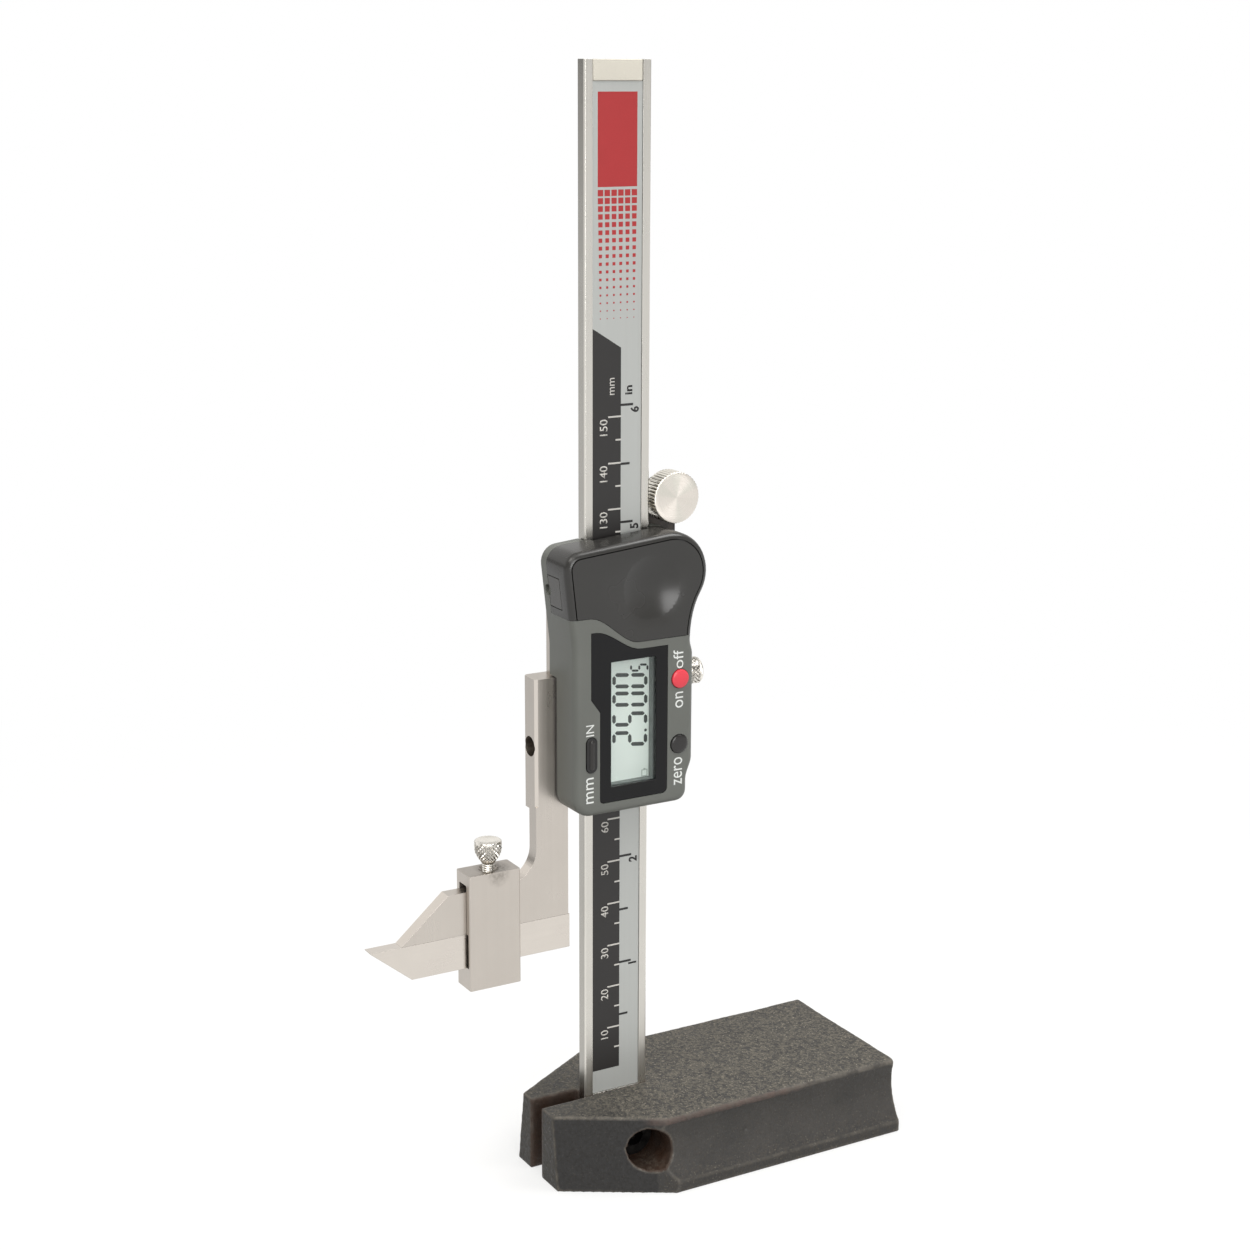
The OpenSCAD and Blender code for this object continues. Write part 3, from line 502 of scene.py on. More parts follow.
def outward_mesh(name, points, faces, merge=None):
    """A closed mesh whose faces look outward, with points closer than merge joined."""
    mesh = bpy.data.meshes.new(name)
    mesh.from_pydata(points, [], faces)
    bm = bmesh.new()
    bm.from_mesh(mesh)
    if merge:
        bmesh.ops.remove_doubles(bm, verts=bm.verts, dist=merge)
    bmesh.ops.recalc_face_normals(bm, faces=bm.faces)
    bm.to_mesh(mesh)
    bm.free()
    return mesh


def walls(across, rings):
    """Faces that join rings of points, each ring to the next."""
    return [(start + i, start + (i + 1) % across, start + across + (i + 1) % across, start + across + i)
            for start in range(0, (rings - 1) * across, across) for i in range(across)]


def store(mesh, name, values):
    attribute = mesh.attributes.new(name, "FLOAT", "POINT")
    attribute.data.foreach_set("value", np.asarray(values, np.float32))


def neighbour_mean(co, edges):
    """Each point's mean of the points it shares an edge with."""
    total = np.zeros_like(co)
    count = np.zeros(len(co))
    for own, other in ((0, 1), (1, 0)):
        np.add.at(total, edges[:, own], co[edges[:, other]])
        np.add.at(count, edges[:, own], 1)
    return total / np.maximum(count, 1)[:, None]


def ramp(values, start, end):
    """Rises smoothly from 0 at start to 1 at end."""
    t = np.clip((values - start) / (end - start), 0, 1)
    return t * t * (3 - 2 * t)


CAST_VOXEL = 0.38 * MM
CAST_ROUNDING_PASSES = 3
CAST_WORN_BULGE = 0.03 * MM
WAVE_DEPTH = 0.10 * MM
GRAIN_DEPTH = 0.05 * MM
BORE_R = 4.7 * MM
BORE_RAGGED = 0.16 * MM
SLIT_HALF = 2.45 * MM
SLIT_FRONT = BEAM_FACE - 0.3 * MM
NOSE_ANGLE = math.radians(59.2)
LIP_FOOT = 15.6 * MM
LIP_RISE = 0.14 * MM
LIP_FADE = 14 * MM
LIP_END = 22 * MM
FOOT_KEPT = 0.25 * MM
# Pits in the skin: place, radius and depth, in millimetres
PITS = ((0.7, -20.3, 9.4, 0.55, 0.4), (22.0, -20.4, 6.2, 0.4, 0.25), (-8.5, 9.0, 17.2, 0.5, 0.3),
        (30.0, -6.0, 17.2, 0.6, 0.3), (13.0, 20.4, 9.0, 0.5, 0.35), (-31.0, 12.0, 8.0, 0.4, 0.3))


def values_of(items, name, width, kind=float):
    """A value of a mesh's points or edges, as an array with a row for each."""
    values = np.zeros(len(items) * width, kind)
    items.foreach_get(name, values)
    return values.reshape(-1, width)


def field(co, wavelength, seed):
    """Smooth noise from -1 to 1 at each point."""
    scale = 1 / wavelength
    shift = Vector((seed, 2 * seed, 3 * seed))
    return np.array([smooth_noise.noise(Vector(p) * scale + shift) for p in co])


def casting_form():
    """The base's form as a fine mesh with rounded edges, with its points, their normals and their bulge."""
    copy = add_object("casting_copy", NODES["base_block"].data.copy())
    weld(copy)
    modify(copy, "voxels", "REMESH", mode="VOXEL", voxel_size=CAST_VOXEL)
    mesh = taken_mesh(copy)
    co = values_of(mesh.vertices, "co", 3)
    edges = values_of(mesh.edges, "vertices", 2, np.int64)
    for _ in range(CAST_ROUNDING_PASSES):
        co += 0.5 * (neighbour_mean(co, edges) - co)
    mesh.vertices.foreach_set("co", co.ravel())
    mesh.update()
    normal = values_of(mesh.vertex_normals, "vector", 3)
    bulge = np.einsum("ij,ij->i", co - neighbour_mean(co, edges), normal)
    return mesh, co, normal, bulge


def casting_masks(co, normal):
    """How far each kind of surface reaches over each point, from 0 to 1."""
    x, y, z = co.T
    screw_low, screw_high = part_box("base_clamp_screw")
    center = (screw_low + screw_high) / 2
    from_bore = np.hypot(x - center.x, z - center.z)
    bore = (1 - ramp(from_bore, BORE_R + 0.2 * MM, BORE_R + 1.2 * MM)) * (y < screw_high.y)
    from_slit = np.maximum(np.abs(y - SLIT_FRONT - SLIT_HALF) - SLIT_HALF, 0)
    slit = (1 - ramp(from_slit, 0.2 * MM, 0.9 * MM)) * (x < BEAM_HIGH.x + 1 * MM)
    # Top faces: the colour paints them lighter, as painted light from above
    top = ramp(normal[:, 2], 0.6, 0.95)

    smooth = ramp(BASE_HIGH.y - np.abs(y), 0.6 * MM, 2.2 * MM) * ramp(np.abs(normal[:, 1]), 0.5, 0.9)
    smooth *= (1 - slit) * (1 - ramp(-x, 24 * MM, 30 * MM))
    # Painted shade on the nose's chamfers, which face away from the light, and a darker top towards the nose
    # end
    toward_nose = np.abs(normal[:, 1]) * math.sin(NOSE_ANGLE) - normal[:, 0] * math.cos(NOSE_ANGLE)
    painted_nose_shade = ramp(toward_nose, 0.93, 0.98) * (x < BEAM_X)
    painted_nose_shade = np.maximum(painted_nose_shade, 0.45 * top * ramp(-x, 22 * MM, 34 * MM))
    ragged_foot = LIP_FOOT + 0.35 * MM * field(co, 1.9 * MM, 5.3)
    lip = ramp(z, ragged_foot - 0.1 * MM, ragged_foot + 0.25 * MM) * (y < 0) * (1 - top)
    lip *= ramp(x, center.x - 2 * MM, center.x + 2 * MM) * (1 - ramp(x, LIP_END - LIP_FADE, LIP_END))
    recess = np.maximum(bore * (from_bore < BORE_R + 0.3 * MM), 0.9 * slit * (1 - top))
    return {"top": top, "smooth": smooth, "painted_nose_shade": painted_nose_shade, "lip": lip, "recess": recess}, bore, slit


def casting_shift(co, normal, masks, bore, slit):
    """How far each point stands proud of the plain form: waves, grain, ragged rims, the lip and the pits."""
    wave = WAVE_DEPTH * field(co, 11 * MM, 1.7)
    grain = GRAIN_DEPTH * (0.9 * field(co, 3.1 * MM, 4.1) + 1.1 * field(co, 1.3 * MM, 7.3))
    ragged = BORE_RAGGED * bore * (1 - np.abs(normal[:, 1])) * field(co, 2.2 * MM, 9.9)
    shift = wave + (1 - 0.55 * masks["smooth"]) * grain + ragged + LIP_RISE * masks["lip"]
    shift *= (1 - 0.8 * slit) * (co[:, 2] > FOOT_KEPT)
    for x, y, z, radius, depth in PITS:
        distance = np.linalg.norm(co - np.array((x, y, z)) * MM, axis=1)
        shift -= depth * MM * np.exp(-(distance / (radius * MM)) ** 2)
    return shift


def base_casting():
    """The base as cast: its form from the frame node, with rounded edges, a grainy skin and small pits."""
    mesh, co, normal, bulge = casting_form()
    masks, bore, slit = casting_masks(co, normal)
    co += normal * casting_shift(co, normal, masks, bore, slit)[:, None]
    co[:, 2] = np.maximum(co[:, 2], BASE_LOW.z)
    mesh.vertices.foreach_set("co", co.ravel())
    mesh.update()
    for polygon in mesh.polygons:
        polygon.use_smooth = True
    store(mesh, "edge", np.clip(bulge / CAST_WORN_BULGE, 0, 1))
    for name, values in masks.items():
        store(mesh, name, values)
    mesh.materials.clear()
    piece = new_piece("base_casting", mesh, "base", cast_iron())
    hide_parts("base_block")


# Knurled and turned pieces

def diamond(u, v):
    """Height of a diamond knurl, from 0 in a groove to 1 on a point."""
    def groove(x):
        return abs(2 * (x - math.floor(x)) - 1)
    return min(groove(u + v), groove(u - v))


# A knurl has points a share of its pitch apart, and its tips are cut off flat
KNURL_STEP = 0.25
KNURL_FLAT = 0.85
# A straight groove's depth across its column and at its ends
FLUTE_SHAPE = (1.0, 0.25, 0.0, 0.25)
FLUTE_END = 0.4
THREAD_PITCH = 0.5 * MM
THREAD_DEPTH = 0.2 * MM
THREAD_RINGS = 6


def spaced(path, step):
    """Points along a path of (radius, z), about a step apart, each with the way run so far."""
    out = []
    run = 0.0
    for (r0, z0), (r1, z1) in zip(path, path[1:]):
        length = math.hypot(r1 - r0, z1 - z0)
        count = max(1, round(length / step))
        for k in range(count):
            t = k / count
            out.append((r0 + (r1 - r0) * t, z0 + (z1 - z0) * t, run + length * t))
        run += length
    out.append((*path[-1], run))
    return out


class Turning:
    """A turned piece, drawn as rings round +Z from its face at z 0 to its back."""

    def __init__(self, columns):
        self.across = round(columns / KNURL_STEP)
        self.rings = []
        self.grooves = []
        self.slots = []

    def ring(self, r, z, slot, cut=None):
        """One ring; cut gives how deep the surface lies under r, for each step round it."""
        depths = [cut(i) if cut else 0.0 for i in range(self.across)]
        step = 2 * math.pi / self.across
        self.rings.append([((r - d) * math.cos(i * step), (r - d) * math.sin(i * step), z)
                           for i, d in enumerate(depths)])
        self.grooves.append(depths)
        self.slots.append(slot)

    def plain(self, profile, slot):
        for r, z in profile:
            self.ring(r, z, slot)

    def knurl(self, path, depth, pitch, slot):
        """A diamond knurl along a path of (radius, z) that fades out at both ends."""
        points = spaced(path, pitch * KNURL_STEP)
        whole = points[-1][2]
        for r, z, run in points:
            v = run / pitch
            deep = depth * min(1.0, 0.25 + 1.5 * min(run, whole - run) / pitch)
            self.ring(r, z, slot, lambda i: deep * (1 - min(diamond(i * KNURL_STEP, v) / KNURL_FLAT, 1)))

    def flutes(self, path, depth, slot):
        """Straight grooves along a spaced path, one to each column."""
        for k, (r, z, _) in enumerate(path):
            reach = depth * (FLUTE_END if k in (0, len(path) - 1) else 1.0)
            self.ring(r, z, slot, lambda i: reach * FLUTE_SHAPE[i % len(FLUTE_SHAPE)])

    def thread(self, r, z0, z1, slot):
        """A screw thread from z0 to z1."""
        count = round((z1 - z0) / (THREAD_PITCH / THREAD_RINGS))
        for k in range(count + 1):
            z = z0 + (z1 - z0) * k / count
            turn = z / THREAD_PITCH
            self.ring(r, z, slot, lambda i: THREAD_DEPTH * abs(2 * ((turn + i / self.across) % 1) - 1))

    def finish(self, name, placed, node, materials):
        across = self.across
        points = [p for ring in self.rings for p in ring]
        grooves = [d for depths in self.grooves for d in depths]
        faces = walls(across, len(self.rings))
        slots = [slot for slot in self.slots[:-1] for _ in range(across)]
        last = (len(self.rings) - 1) * across
        for start, slot in ((0, self.slots[0]), (last, self.slots[-1])):
            faces += [(start + i, start + (i + 1) % across, len(points)) for i in range(across)]
            slots += [slot] * across
            points.append((0, 0, points[start][2]))
            grooves.append(0.0)
        mesh = outward_mesh(name, [placed @ Vector(p) for p in points], faces)
        deepest = max(grooves)
        store(mesh, "groove", [d / deepest for d in grooves])
        for material in materials:
            mesh.materials.append(material)
        for polygon, slot in zip(mesh.polygons, slots):
            polygon.material_index = slot
        piece = new_piece(name, mesh, node, None)
        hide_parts(node)
        smooth_shading(piece)


WHEEL_EDGE = 0.16 * MM
WHEEL_BORE = 1.3 * MM
WHEEL_BORE_FLOOR = 1.7 * MM
WHEEL_PITCH = 0.78 * MM
FLUTE_DEPTH = 0.34 * MM


def thumb_wheel():
    """The wheel: a turned face, a knurled rim and the bore for its pin behind."""
    low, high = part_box("thumb_wheel")
    middle = (low + high) / 2
    radius = (high.z - low.z) / 2
    width = high.y - low.y
    placed = Matrix.Translation((middle.x, low.y, middle.z)) @ Matrix.Rotation(math.radians(-90), 4, "X")
    wheel = Turning(round(2 * math.pi * radius / WHEEL_PITCH))
    wheel.plain([(radius * k / 4, 0) for k in (0.5, 1, 2, 3)], 0)
    wheel.plain([(radius - 0.3 * MM, 0), (radius - 0.2 * MM, 0.03 * MM)], 0)
    rim = [(radius - 0.04 * MM, WHEEL_EDGE), (radius, WHEEL_EDGE * 2), (radius, width - WHEEL_EDGE)]
    wheel.flutes(spaced(rim, 0.5 * MM), FLUTE_DEPTH, 1)
    wheel.plain([(radius - 0.35 * MM, width), (WHEEL_BORE, width), (WHEEL_BORE, WHEEL_BORE_FLOOR)], 1)
    # The second colour is painted shade in the wheel's grooves
    knurl = bright_knurl("wheel_knurl", srgb(232, 228, 218), srgb(40, 36, 32))
    face = turned_face("turned_face", tuple(middle))
    wheel.finish("knurled_wheel", placed, "thumb_wheel", [face, knurl])


SHANK = 1.4 * MM
KNOB_PITCH = 1.0 * MM
KNOB_DEPTH = 0.34 * MM
LOCK_HEAD = 6.2 * MM
CLAMP_HEAD = 5.2 * MM
# The knob's dished face: shares of its radius, and millimetres below the face's rim
KNOB_FACE = ((0.2, 0.26), (0.5, 0.2), (0.76, 0.05), (0.82, 0), (0.88, 0), (0.95, 0.12))
# The knurled part's outline: shares of the head's radius and height
KNOB_TURNS = ((1.0, 0.07), (1.0, 0.4), (0.94, 0.55), (0.8, 0.72), (0.62, 0.86))


def knurled_screw(node, axis, turn, head, material):
    """A screw whose knurled head looks along an axis and narrows to the shank."""
    low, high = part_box(node)
    face = (low + high) / 2
    face[axis] = high[axis]
    radius = (high.y - low.y) / 2
    length = high[axis] - low[axis]
    knob = Turning(round(2 * math.pi * radius / KNOB_PITCH))
    knob.plain([(radius * r, z * MM) for r, z in KNOB_FACE], 0)
    knob.knurl([(radius * r, head * z) for r, z in KNOB_TURNS], KNOB_DEPTH, KNOB_PITCH, 0)
    knob.plain([(SHANK + 0.12 * MM, head * 0.96), (SHANK, head)], 0)
    knob.thread(SHANK, head + 0.05 * MM, length - 0.3 * MM, 0)
    knob.plain([(SHANK - THREAD_DEPTH, length)], 0)
    knob.finish("knurled_" + node, Matrix.Translation(face) @ turn, node, [material])


def knurled_screws():
    """The locking screw, whose head looks along +X, and the clamp screw, whose head looks up."""
    # The second colour is painted shade in the screws' grooves
    bright = bright_knurl("screw_knurl", srgb(236, 232, 224), srgb(62, 55, 48))
    knurled_screw("lock_screw", 0, Matrix.Rotation(math.radians(-90), 4, "Y"), LOCK_HEAD, bright)
    knurled_screw("clamp_screw", 2, Matrix.Rotation(math.radians(180), 4, "X"), CLAMP_HEAD, bright)


# Print

INK = 0.012 * MM


def lettering(text, weight):
    """The letters of a word, flat, with the corners of their box."""
    data = bpy.data.curves.new("lettering", "FONT")
    data.body = text
    data.size = 1
    data.resolution_u = 4
    data.offset = weight
    mesh = taken_mesh(add_object("lettering", data))
    letters = bmesh.new()
    letters.from_mesh(mesh)
    bpy.data.meshes.remove(mesh)
    co = np.array([v.co for v in letters.verts])
    return letters, co.min(axis=0), co.max(axis=0)


class Print:
    """Thin printed shapes of one ink on a face that looks along -Y. Places are X and Z in metres."""

    def __init__(self, face_y, thickness=INK):
        self.face_y = face_y
        self.thickness = thickness
        self.bm = bmesh.new()

    def shape(self, points):
        """A flat shape with the given corners, counter-clockwise as the reader sees it."""
        front = [self.bm.verts.new((x, self.face_y - self.thickness, z)) for x, z in points]
        back = [self.bm.verts.new((x, self.face_y, z)) for x, z in points]
        self.bm.faces.new(front)
        self.bm.faces.new(back[::-1])
        for i in range(len(points)):
            j = (i + 1) % len(points)
            self.bm.faces.new((front[i], back[i], back[j], front[j]))

    def bar(self, x0, x1, z0, z1):
        self.shape([(x0, z0), (x1, z0), (x1, z1), (x0, z1)])

    def word(self, text, top, foot, start, end=None, weight=0.0, narrow=1.0, hang=False):
        """A word that reads upward, with the X of its tops and feet, and the Z of its start.

        It is stretched to end, or without one it keeps its letters' form times narrow. If it hangs, start is
        where it ends.
        """
        letters, low, high = lettering(text, weight)
        across = (foot - top) / (high[1] - low[1])
        along = across * narrow if end is None else (end - start) / (high[0] - low[0])
        start = start - along * (high[0] - low[0]) if hang else start
        front = self.face_y - self.thickness
        for vertex in letters.verts:
            x, y, _ = vertex.co
            vertex.co = (foot - (y - low[1]) * across, front, start + (x - low[0]) * along)
        flat = bmesh.ops.extrude_face_region(letters, geom=list(letters.faces), use_keep_orig=True)
        for element in flat["geom"]:
            if isinstance(element, bmesh.types.BMVert):
                element.co.y = self.face_y
        made = bpy.data.meshes.new("lettering")
        letters.to_mesh(made)
        letters.free()
        self.bm.from_mesh(made)
        bpy.data.meshes.remove(made)

    def finish(self, name, body, slot, material):
        bmesh.ops.recalc_face_normals(self.bm, faces=self.bm.faces)
        mesh = bpy.data.meshes.new(name)
        self.bm.to_mesh(mesh)
        self.bm.free()
        return new_piece(name, mesh, body, material)


def beam_place(x, z):
    """A place on the beam: x from its middle, z above the scale's zero, in millimetres."""
    return BEAM_X + x * MM, SCALE_ZERO + z * MM


def slider_place(x, z):
    """A place on the slider: x from the beam's middle, z above the slider's own origin, in millimetres."""
    return BEAM_X + x * MM, SLIDER_ZERO + z * MM


def box_of(place, x0, x1, z0, z1):
    """The sides of a box in metres, from its sides in millimetres in a place's own measure."""
    left, low = place(x0, z0)
    right, high = place(x1, z1)
    return left, right, low, high


# The scale's print, in millimetres from the beam's middle and above its zero
DIVIDER = 0.96
BAND_LEFT = -5.92
BAND_TOP = (168.9, 164.6)
INCH = 25.4
TICK = 0.36
TICK_LENGTHS = (3.1, 1.3)
INCH_TICK = 0.52
INCH_TICK_LENGTHS = (3.0, 2.2)
DIGIT_TOP = {2: -3.8, 3: -4.2}
DIGIT_HEIGHT = 1.9
DIGIT_GAP = 0.45
INCH_DIGIT = (3.3, 5.4)
INCH_DIGIT_GAP = 0.5
MM_WORD = (-1.75, -0.6, 154.7, 158.3)
INCH_WORD = (2.0, 3.75, 154.5, 156.5)


def scale_print():
    """The scale: white millimetre marks on a black band, and black inch marks beside it."""
    face = LABEL_LOW.y
    band = Print(face)
    corners = ((BAND_LEFT, 0), (DIVIDER, 0), (DIVIDER, BAND_TOP[1]), (BAND_LEFT, BAND_TOP[0]))
    band.shape([beam_place(x, z) for x, z in corners])
    band.finish("scale_band", "base", "scale_label", ink("band_ink", srgb(33, 31, 30), 0.42))

    white = Print(face - INK)
    for z in range(5, 151, 5):
        length = TICK_LENGTHS[z % 10 != 0]
        white.bar(*box_of(beam_place, DIVIDER - length, DIVIDER, z - TICK / 2, z + TICK / 2))
        if z % 10 == 0:
            top, end = beam_place(DIGIT_TOP[len(str(z))], z - DIGIT_GAP)
            white.word(str(z), top, top + DIGIT_HEIGHT * MM, end, weight=0.008, narrow=1.03, hang=True)
    white.word("mm", *box_of(beam_place, *MM_WORD))
    white.finish("scale_marks_white", "base", "scale_label", ink("white_ink", srgb(205, 202, 196)))

    black = Print(face)
    for half in range(1, 13):
        z = half * INCH / 2
        length = INCH_TICK_LENGTHS[half % 2]
        black.bar(*box_of(beam_place, DIVIDER, DIVIDER + length, z - INCH_TICK / 2, z + INCH_TICK / 2))
        if half % 2 == 0:
            top, foot, end, _ = box_of(beam_place, *INCH_DIGIT, z - INCH_DIGIT_GAP, z)
            black.word(str(half // 2), top, foot, end, weight=0.035, narrow=0.95, hang=True)
    black.word("in", *box_of(beam_place, *INCH_WORD), weight=0.03)
    black.finish("scale_marks_black", "base", "scale_label", ink("black_ink", srgb(30, 29, 29)))


# The red field on the label and the squares below it, in millimetres like the scale
FIELD = (-4.7, 4.7)
FIELD_Z = (198.0, 217.2)
DOT_COLUMNS = 6
DOT_ROWS = 17
DOT_SIZE = (1.3, 0.22)


def label_trim():
    """A plain red field at the label's upper end that fades downward in rows of squares."""
    red = Print(LABEL_LOW.y)
    red.bar(*box_of(beam_place, *FIELD, *FIELD_Z))
    pitch = (FIELD[1] - FIELD[0] - DOT_SIZE[0]) / (DOT_COLUMNS - 1)
    for row in range(DOT_ROWS):
        half = (DOT_SIZE[0] + (DOT_SIZE[1] - DOT_SIZE[0]) * row / (DOT_ROWS - 1)) / 2
        z = FIELD_Z[0] - pitch * (row + 0.75)
        for column in range(DOT_COLUMNS):
            x = FIELD[0] + DOT_SIZE[0] / 2 + pitch * column
            red.bar(*box_of(beam_place, x - half, x + half, z - half, z + half))
    red.finish("label_trim_red", "base", "scale_label", ink("red_ink", srgb(176, 46, 48), 0.42))


# The words beside the buttons: the X of their tops and feet, and their Z, in millimetres on the slider
BUTTON_WORDS = (
    ("off", 9.0, 11.55, 30.9, 35.1), ("on", 9.6, 11.6, 22.0, 25.6), ("zero", 9.35, 11.5, 4.4, 10.7),
    ("IN", -12.6, -10.65, 18.7, 21.2), ("mm", -12.6, -10.75, 3.6, 9.4),
)


def housing_print():
    """The words beside the buttons."""
    white = Print(HOUSING_LOW.y)
    for text, *sides in BUTTON_WORDS:
        white.word(text, *box_of(slider_place, *sides))
    white.finish("button_words", "slider", "main_housing", ink("word_ink", srgb(236, 238, 235)))


# Strokes of a seven-segment digit: top, upper right, lower right, foot, lower left, upper left, middle
DIGITS = {"0": "abcdef", "2": "abged", "5": "afgcd"}
SEGMENTS = {"a": ((0, 1), (1, 1)), "b": ((1, 0.5), (1, 1)), "c": ((1, 0), (1, 0.5)), "d": ((0, 0), (1, 0)),
            "e": ((0, 0), (0, 0.5)), "f": ((0, 0.5), (0, 1)), "g": ((0, 0.5), (1, 0.5))}
SLANT = 0.125
SEGMENT_GAP = 0.26
STROKE_HEIGHT = 0.02 * MM
# The reading, 2.5005 inches, in millimetres on the slider: the digits' starts, and what they share
READING = (("2", 13.92), ("5", 18.34), ("0", 22.85), ("0", 27.0))
READING_FORM = {"foot": 3.97, "width": 2.55, "height": 7.92, "stroke": 0.86}
SMALL_DIGIT = ("5", 30.47)
SMALL_FORM = {"foot": 4.36, "width": 1.35, "height": 4.1, "stroke": 0.5}
POINT = (3.98, 17.04)
POINT_HALF = 0.36 * MM
CELL_MARK = ((3.0, 3.2, 6.5, 8.1), (4.3, 4.5, 6.5, 8.1), (3.2, 4.3, 6.5, 6.7), (3.2, 4.3, 7.9, 8.1),
             (3.5, 4.0, 8.1, 8.35))


def digit(target, text, start, foot, width, height, stroke):
    """A digit that reads upward, with its lower left at (foot, start) on the slider."""
    for letter in DIGITS[text]:
        (u0, v0), (u1, v1) = SEGMENTS[letter]
        a = Vector((u0 * width, v0 * height))
        b = Vector((u1 * width, v1 * height))
        along = (b - a).normalized()
        aside = Vector((-along.y, along.x)) * stroke / 2
        a += along * SEGMENT_GAP * stroke
        b -= along * SEGMENT_GAP * stroke
        tip = along * stroke / 2
        corners = [a, a + tip - aside, b - tip - aside, b, b - tip + aside, a + tip + aside]
        target.shape([slider_place(foot - c.y, start + c.x + SLANT * c.y) for c in corners])


def display_digits():
    """The reading in dark liquid crystal strokes, and a faint mark of the cell's state."""
    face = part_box("lcd_glass")[0].y
    dark = Print(face, STROKE_HEIGHT)
    for text, start in READING:
        digit(dark, text, start, **READING_FORM)
    digit(dark, *SMALL_DIGIT, **SMALL_FORM)
    x, z = slider_place(*POINT)
    turn = [a * math.pi / 4 for a in range(8)]
    dark.shape([(x + POINT_HALF * math.cos(a), z + POINT_HALF * math.sin(a)) for a in turn])
    dark.finish("display_strokes", "slider", "lcd_glass", ink("crystal_dark", srgb(26, 36, 33), 0.4))
    faint = Print(face, STROKE_HEIGHT)
    for sides in CELL_MARK:
        faint.bar(*box_of(slider_place, *sides))
    faint.finish("display_cell_mark", "slider", "lcd_glass", ink("crystal_faint", srgb(164, 178, 170), 0.4))


# Frame nodes

def steels():
    """The metal nodes: their material, the radius of their edges in millimetres and the steps round them."""
    screw_low, screw_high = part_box("clamp_screw")
    screw = (screw_low + screw_high) / 2
    # The clamp's top is darker round this place, by the screw's hole under its head
    hole = (screw.x + 0.9 * MM, screw.y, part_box("scriber_clamp")[1].z - 0.6 * MM)
    # Painted shade on the sides of the frame, beam and clamp and on the clamp's top; painted highlight on the
    # frame's and beam's bevels
    frame_steel = ground_steel("frame_steel", srgb(199, 192, 184), ALONG_Z, 0.3, sides=0.78, edges=1.25)
    beam = ground_steel("beam_steel", srgb(209, 206, 199), ALONG_Z, 0.28, sides=0.64, edges=1.12)
    clamp = ground_steel("clamp_steel", srgb(196, 189, 181), ALONG_Z, 0.36, sides=0.92, tops=0.8, darkened_spot=hole)
    # Painted shade: the scriber's bevels are darker, for the seam line between it and the jaw
    scriber = ground_steel("scriber_steel", srgb(213, 206, 198), ALONG_X, 0.24, 0.0002 * MM, edges=0.6)
    plated = ground_steel("plated_steel", srgb(196, 195, 192), NO_WAY, 0.22)
    spring = ground_steel("spring_brass", srgb(222, 190, 120), ALONG_Z, 0.24)
    return (
        ("slider_frame", frame_steel, 0.3, 3),
        ("gib_screws", frame_steel, 0.06, 3),
        ("base_clamp_screw", black_oxide("screw_oxide", 0.3), 0.2, 3),
        ("wheel_bracket", black_oxide("bracket_oxide", 1.6), 0.15, 3),
        ("beam", beam, 0.05, 3),
        ("scriber_clamp", clamp, 0.12, 3),
        ("scriber", scriber, 0.07, 3),
        ("board_screws housing_screws bracket_screws wheel_pin switch_domes battery_cell", plated, 0.05, 2),
        ("gib_strip", ground_steel("brass", srgb(214, 176, 104), ALONG_Z, 0.3), 0.1, 2),
        ("battery_contacts output_contacts", spring, 0.03, 2),
    )


def plastics():
    """The moulded nodes, in the same way."""
    # Painted shade: the black buttons' bodies are darker than their caps, for the dark outline round each
    rubber = moulded_plastic("button_black_painted_shade", srgb(16, 15, 15), 0.34)
    return (
        ("port_cover", moulded_plastic("port_black", srgb(60, 58, 55), 0.24), 0.1, 3),
        ("display_bezel", gloss_plastic(), 0.12, 3),
        ("display_window", clear_window(), 0.04, 1),
        ("display_frame", moulded_plastic("display_tray", srgb(104, 112, 110), 0.45), 0.1, 2),
        ("output_port", moulded_plastic("port_block", srgb(34, 33, 32), 0.5), 0.1, 2),
        ("end_stop", moulded_plastic("cream_block", srgb(219, 214, 201), 0.45), 0.25, 3),
        # Painted shade: the red button's body is darker than its dome, for its darker rim
        ("power_button", moulded_plastic("button_red_painted_shade", srgb(205, 38, 54), 0.3), 0.35, 4),
        ("zero_button unit_button", rubber, 0.35, 4),
    )


def dress_frame():
    """Materials and rounded edges of the nodes that are shown as they are."""
    for nodes, material, width, segments in (*steels(), *plastics()):
        for node in nodes.split():
            soften_edges(dress(node, material), width * MM, segments)

    # The housing's edges are round in its own mesh
    # Corner of the painted shade along the housing's back edge, in the gap by the frame's boss
    painted_shade_corner = Vector((BEAM_LOW.x - 2 * MM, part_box("slider_frame")[0].y - 0.45 * MM, SLIDER_ZERO + 30.3 * MM))
    grey = moulded_plastic("grey_housing", srgb(103, 105, 100), 0.4, painted_shade_corner=painted_shade_corner)
    black = moulded_plastic("black_cover", srgb(49, 48, 46), 0.25, grain=0.003 * MM)
    for node, material in (("main_housing", grey), ("top_cover", black), ("battery_cover", black)):
        piece = dress(node, material)
        weld(piece)
        smooth_shading(piece)

    dress("lcd_glass", display_reflector())
    dress("scale_label", printed_foil())
    dress("contact_strips", zebra_rubber())
    for node in ("scale_strip", "circuit_board"):
        dress(node, solder_mask())


# Caps on the buttons

CAP_STEPS = 6
CAP_TURNS = 12
CAP_STEEPEST = 0.98
BUTTON_R = 2.1 * MM
DOME_R = BUTTON_R - 0.06 * MM
DOME_RISE = 0.28 * MM
RIB_R = 0.6 * MM
RIB_RISE = 0.35 * MM
RIB_REACH = 2.8 * MM


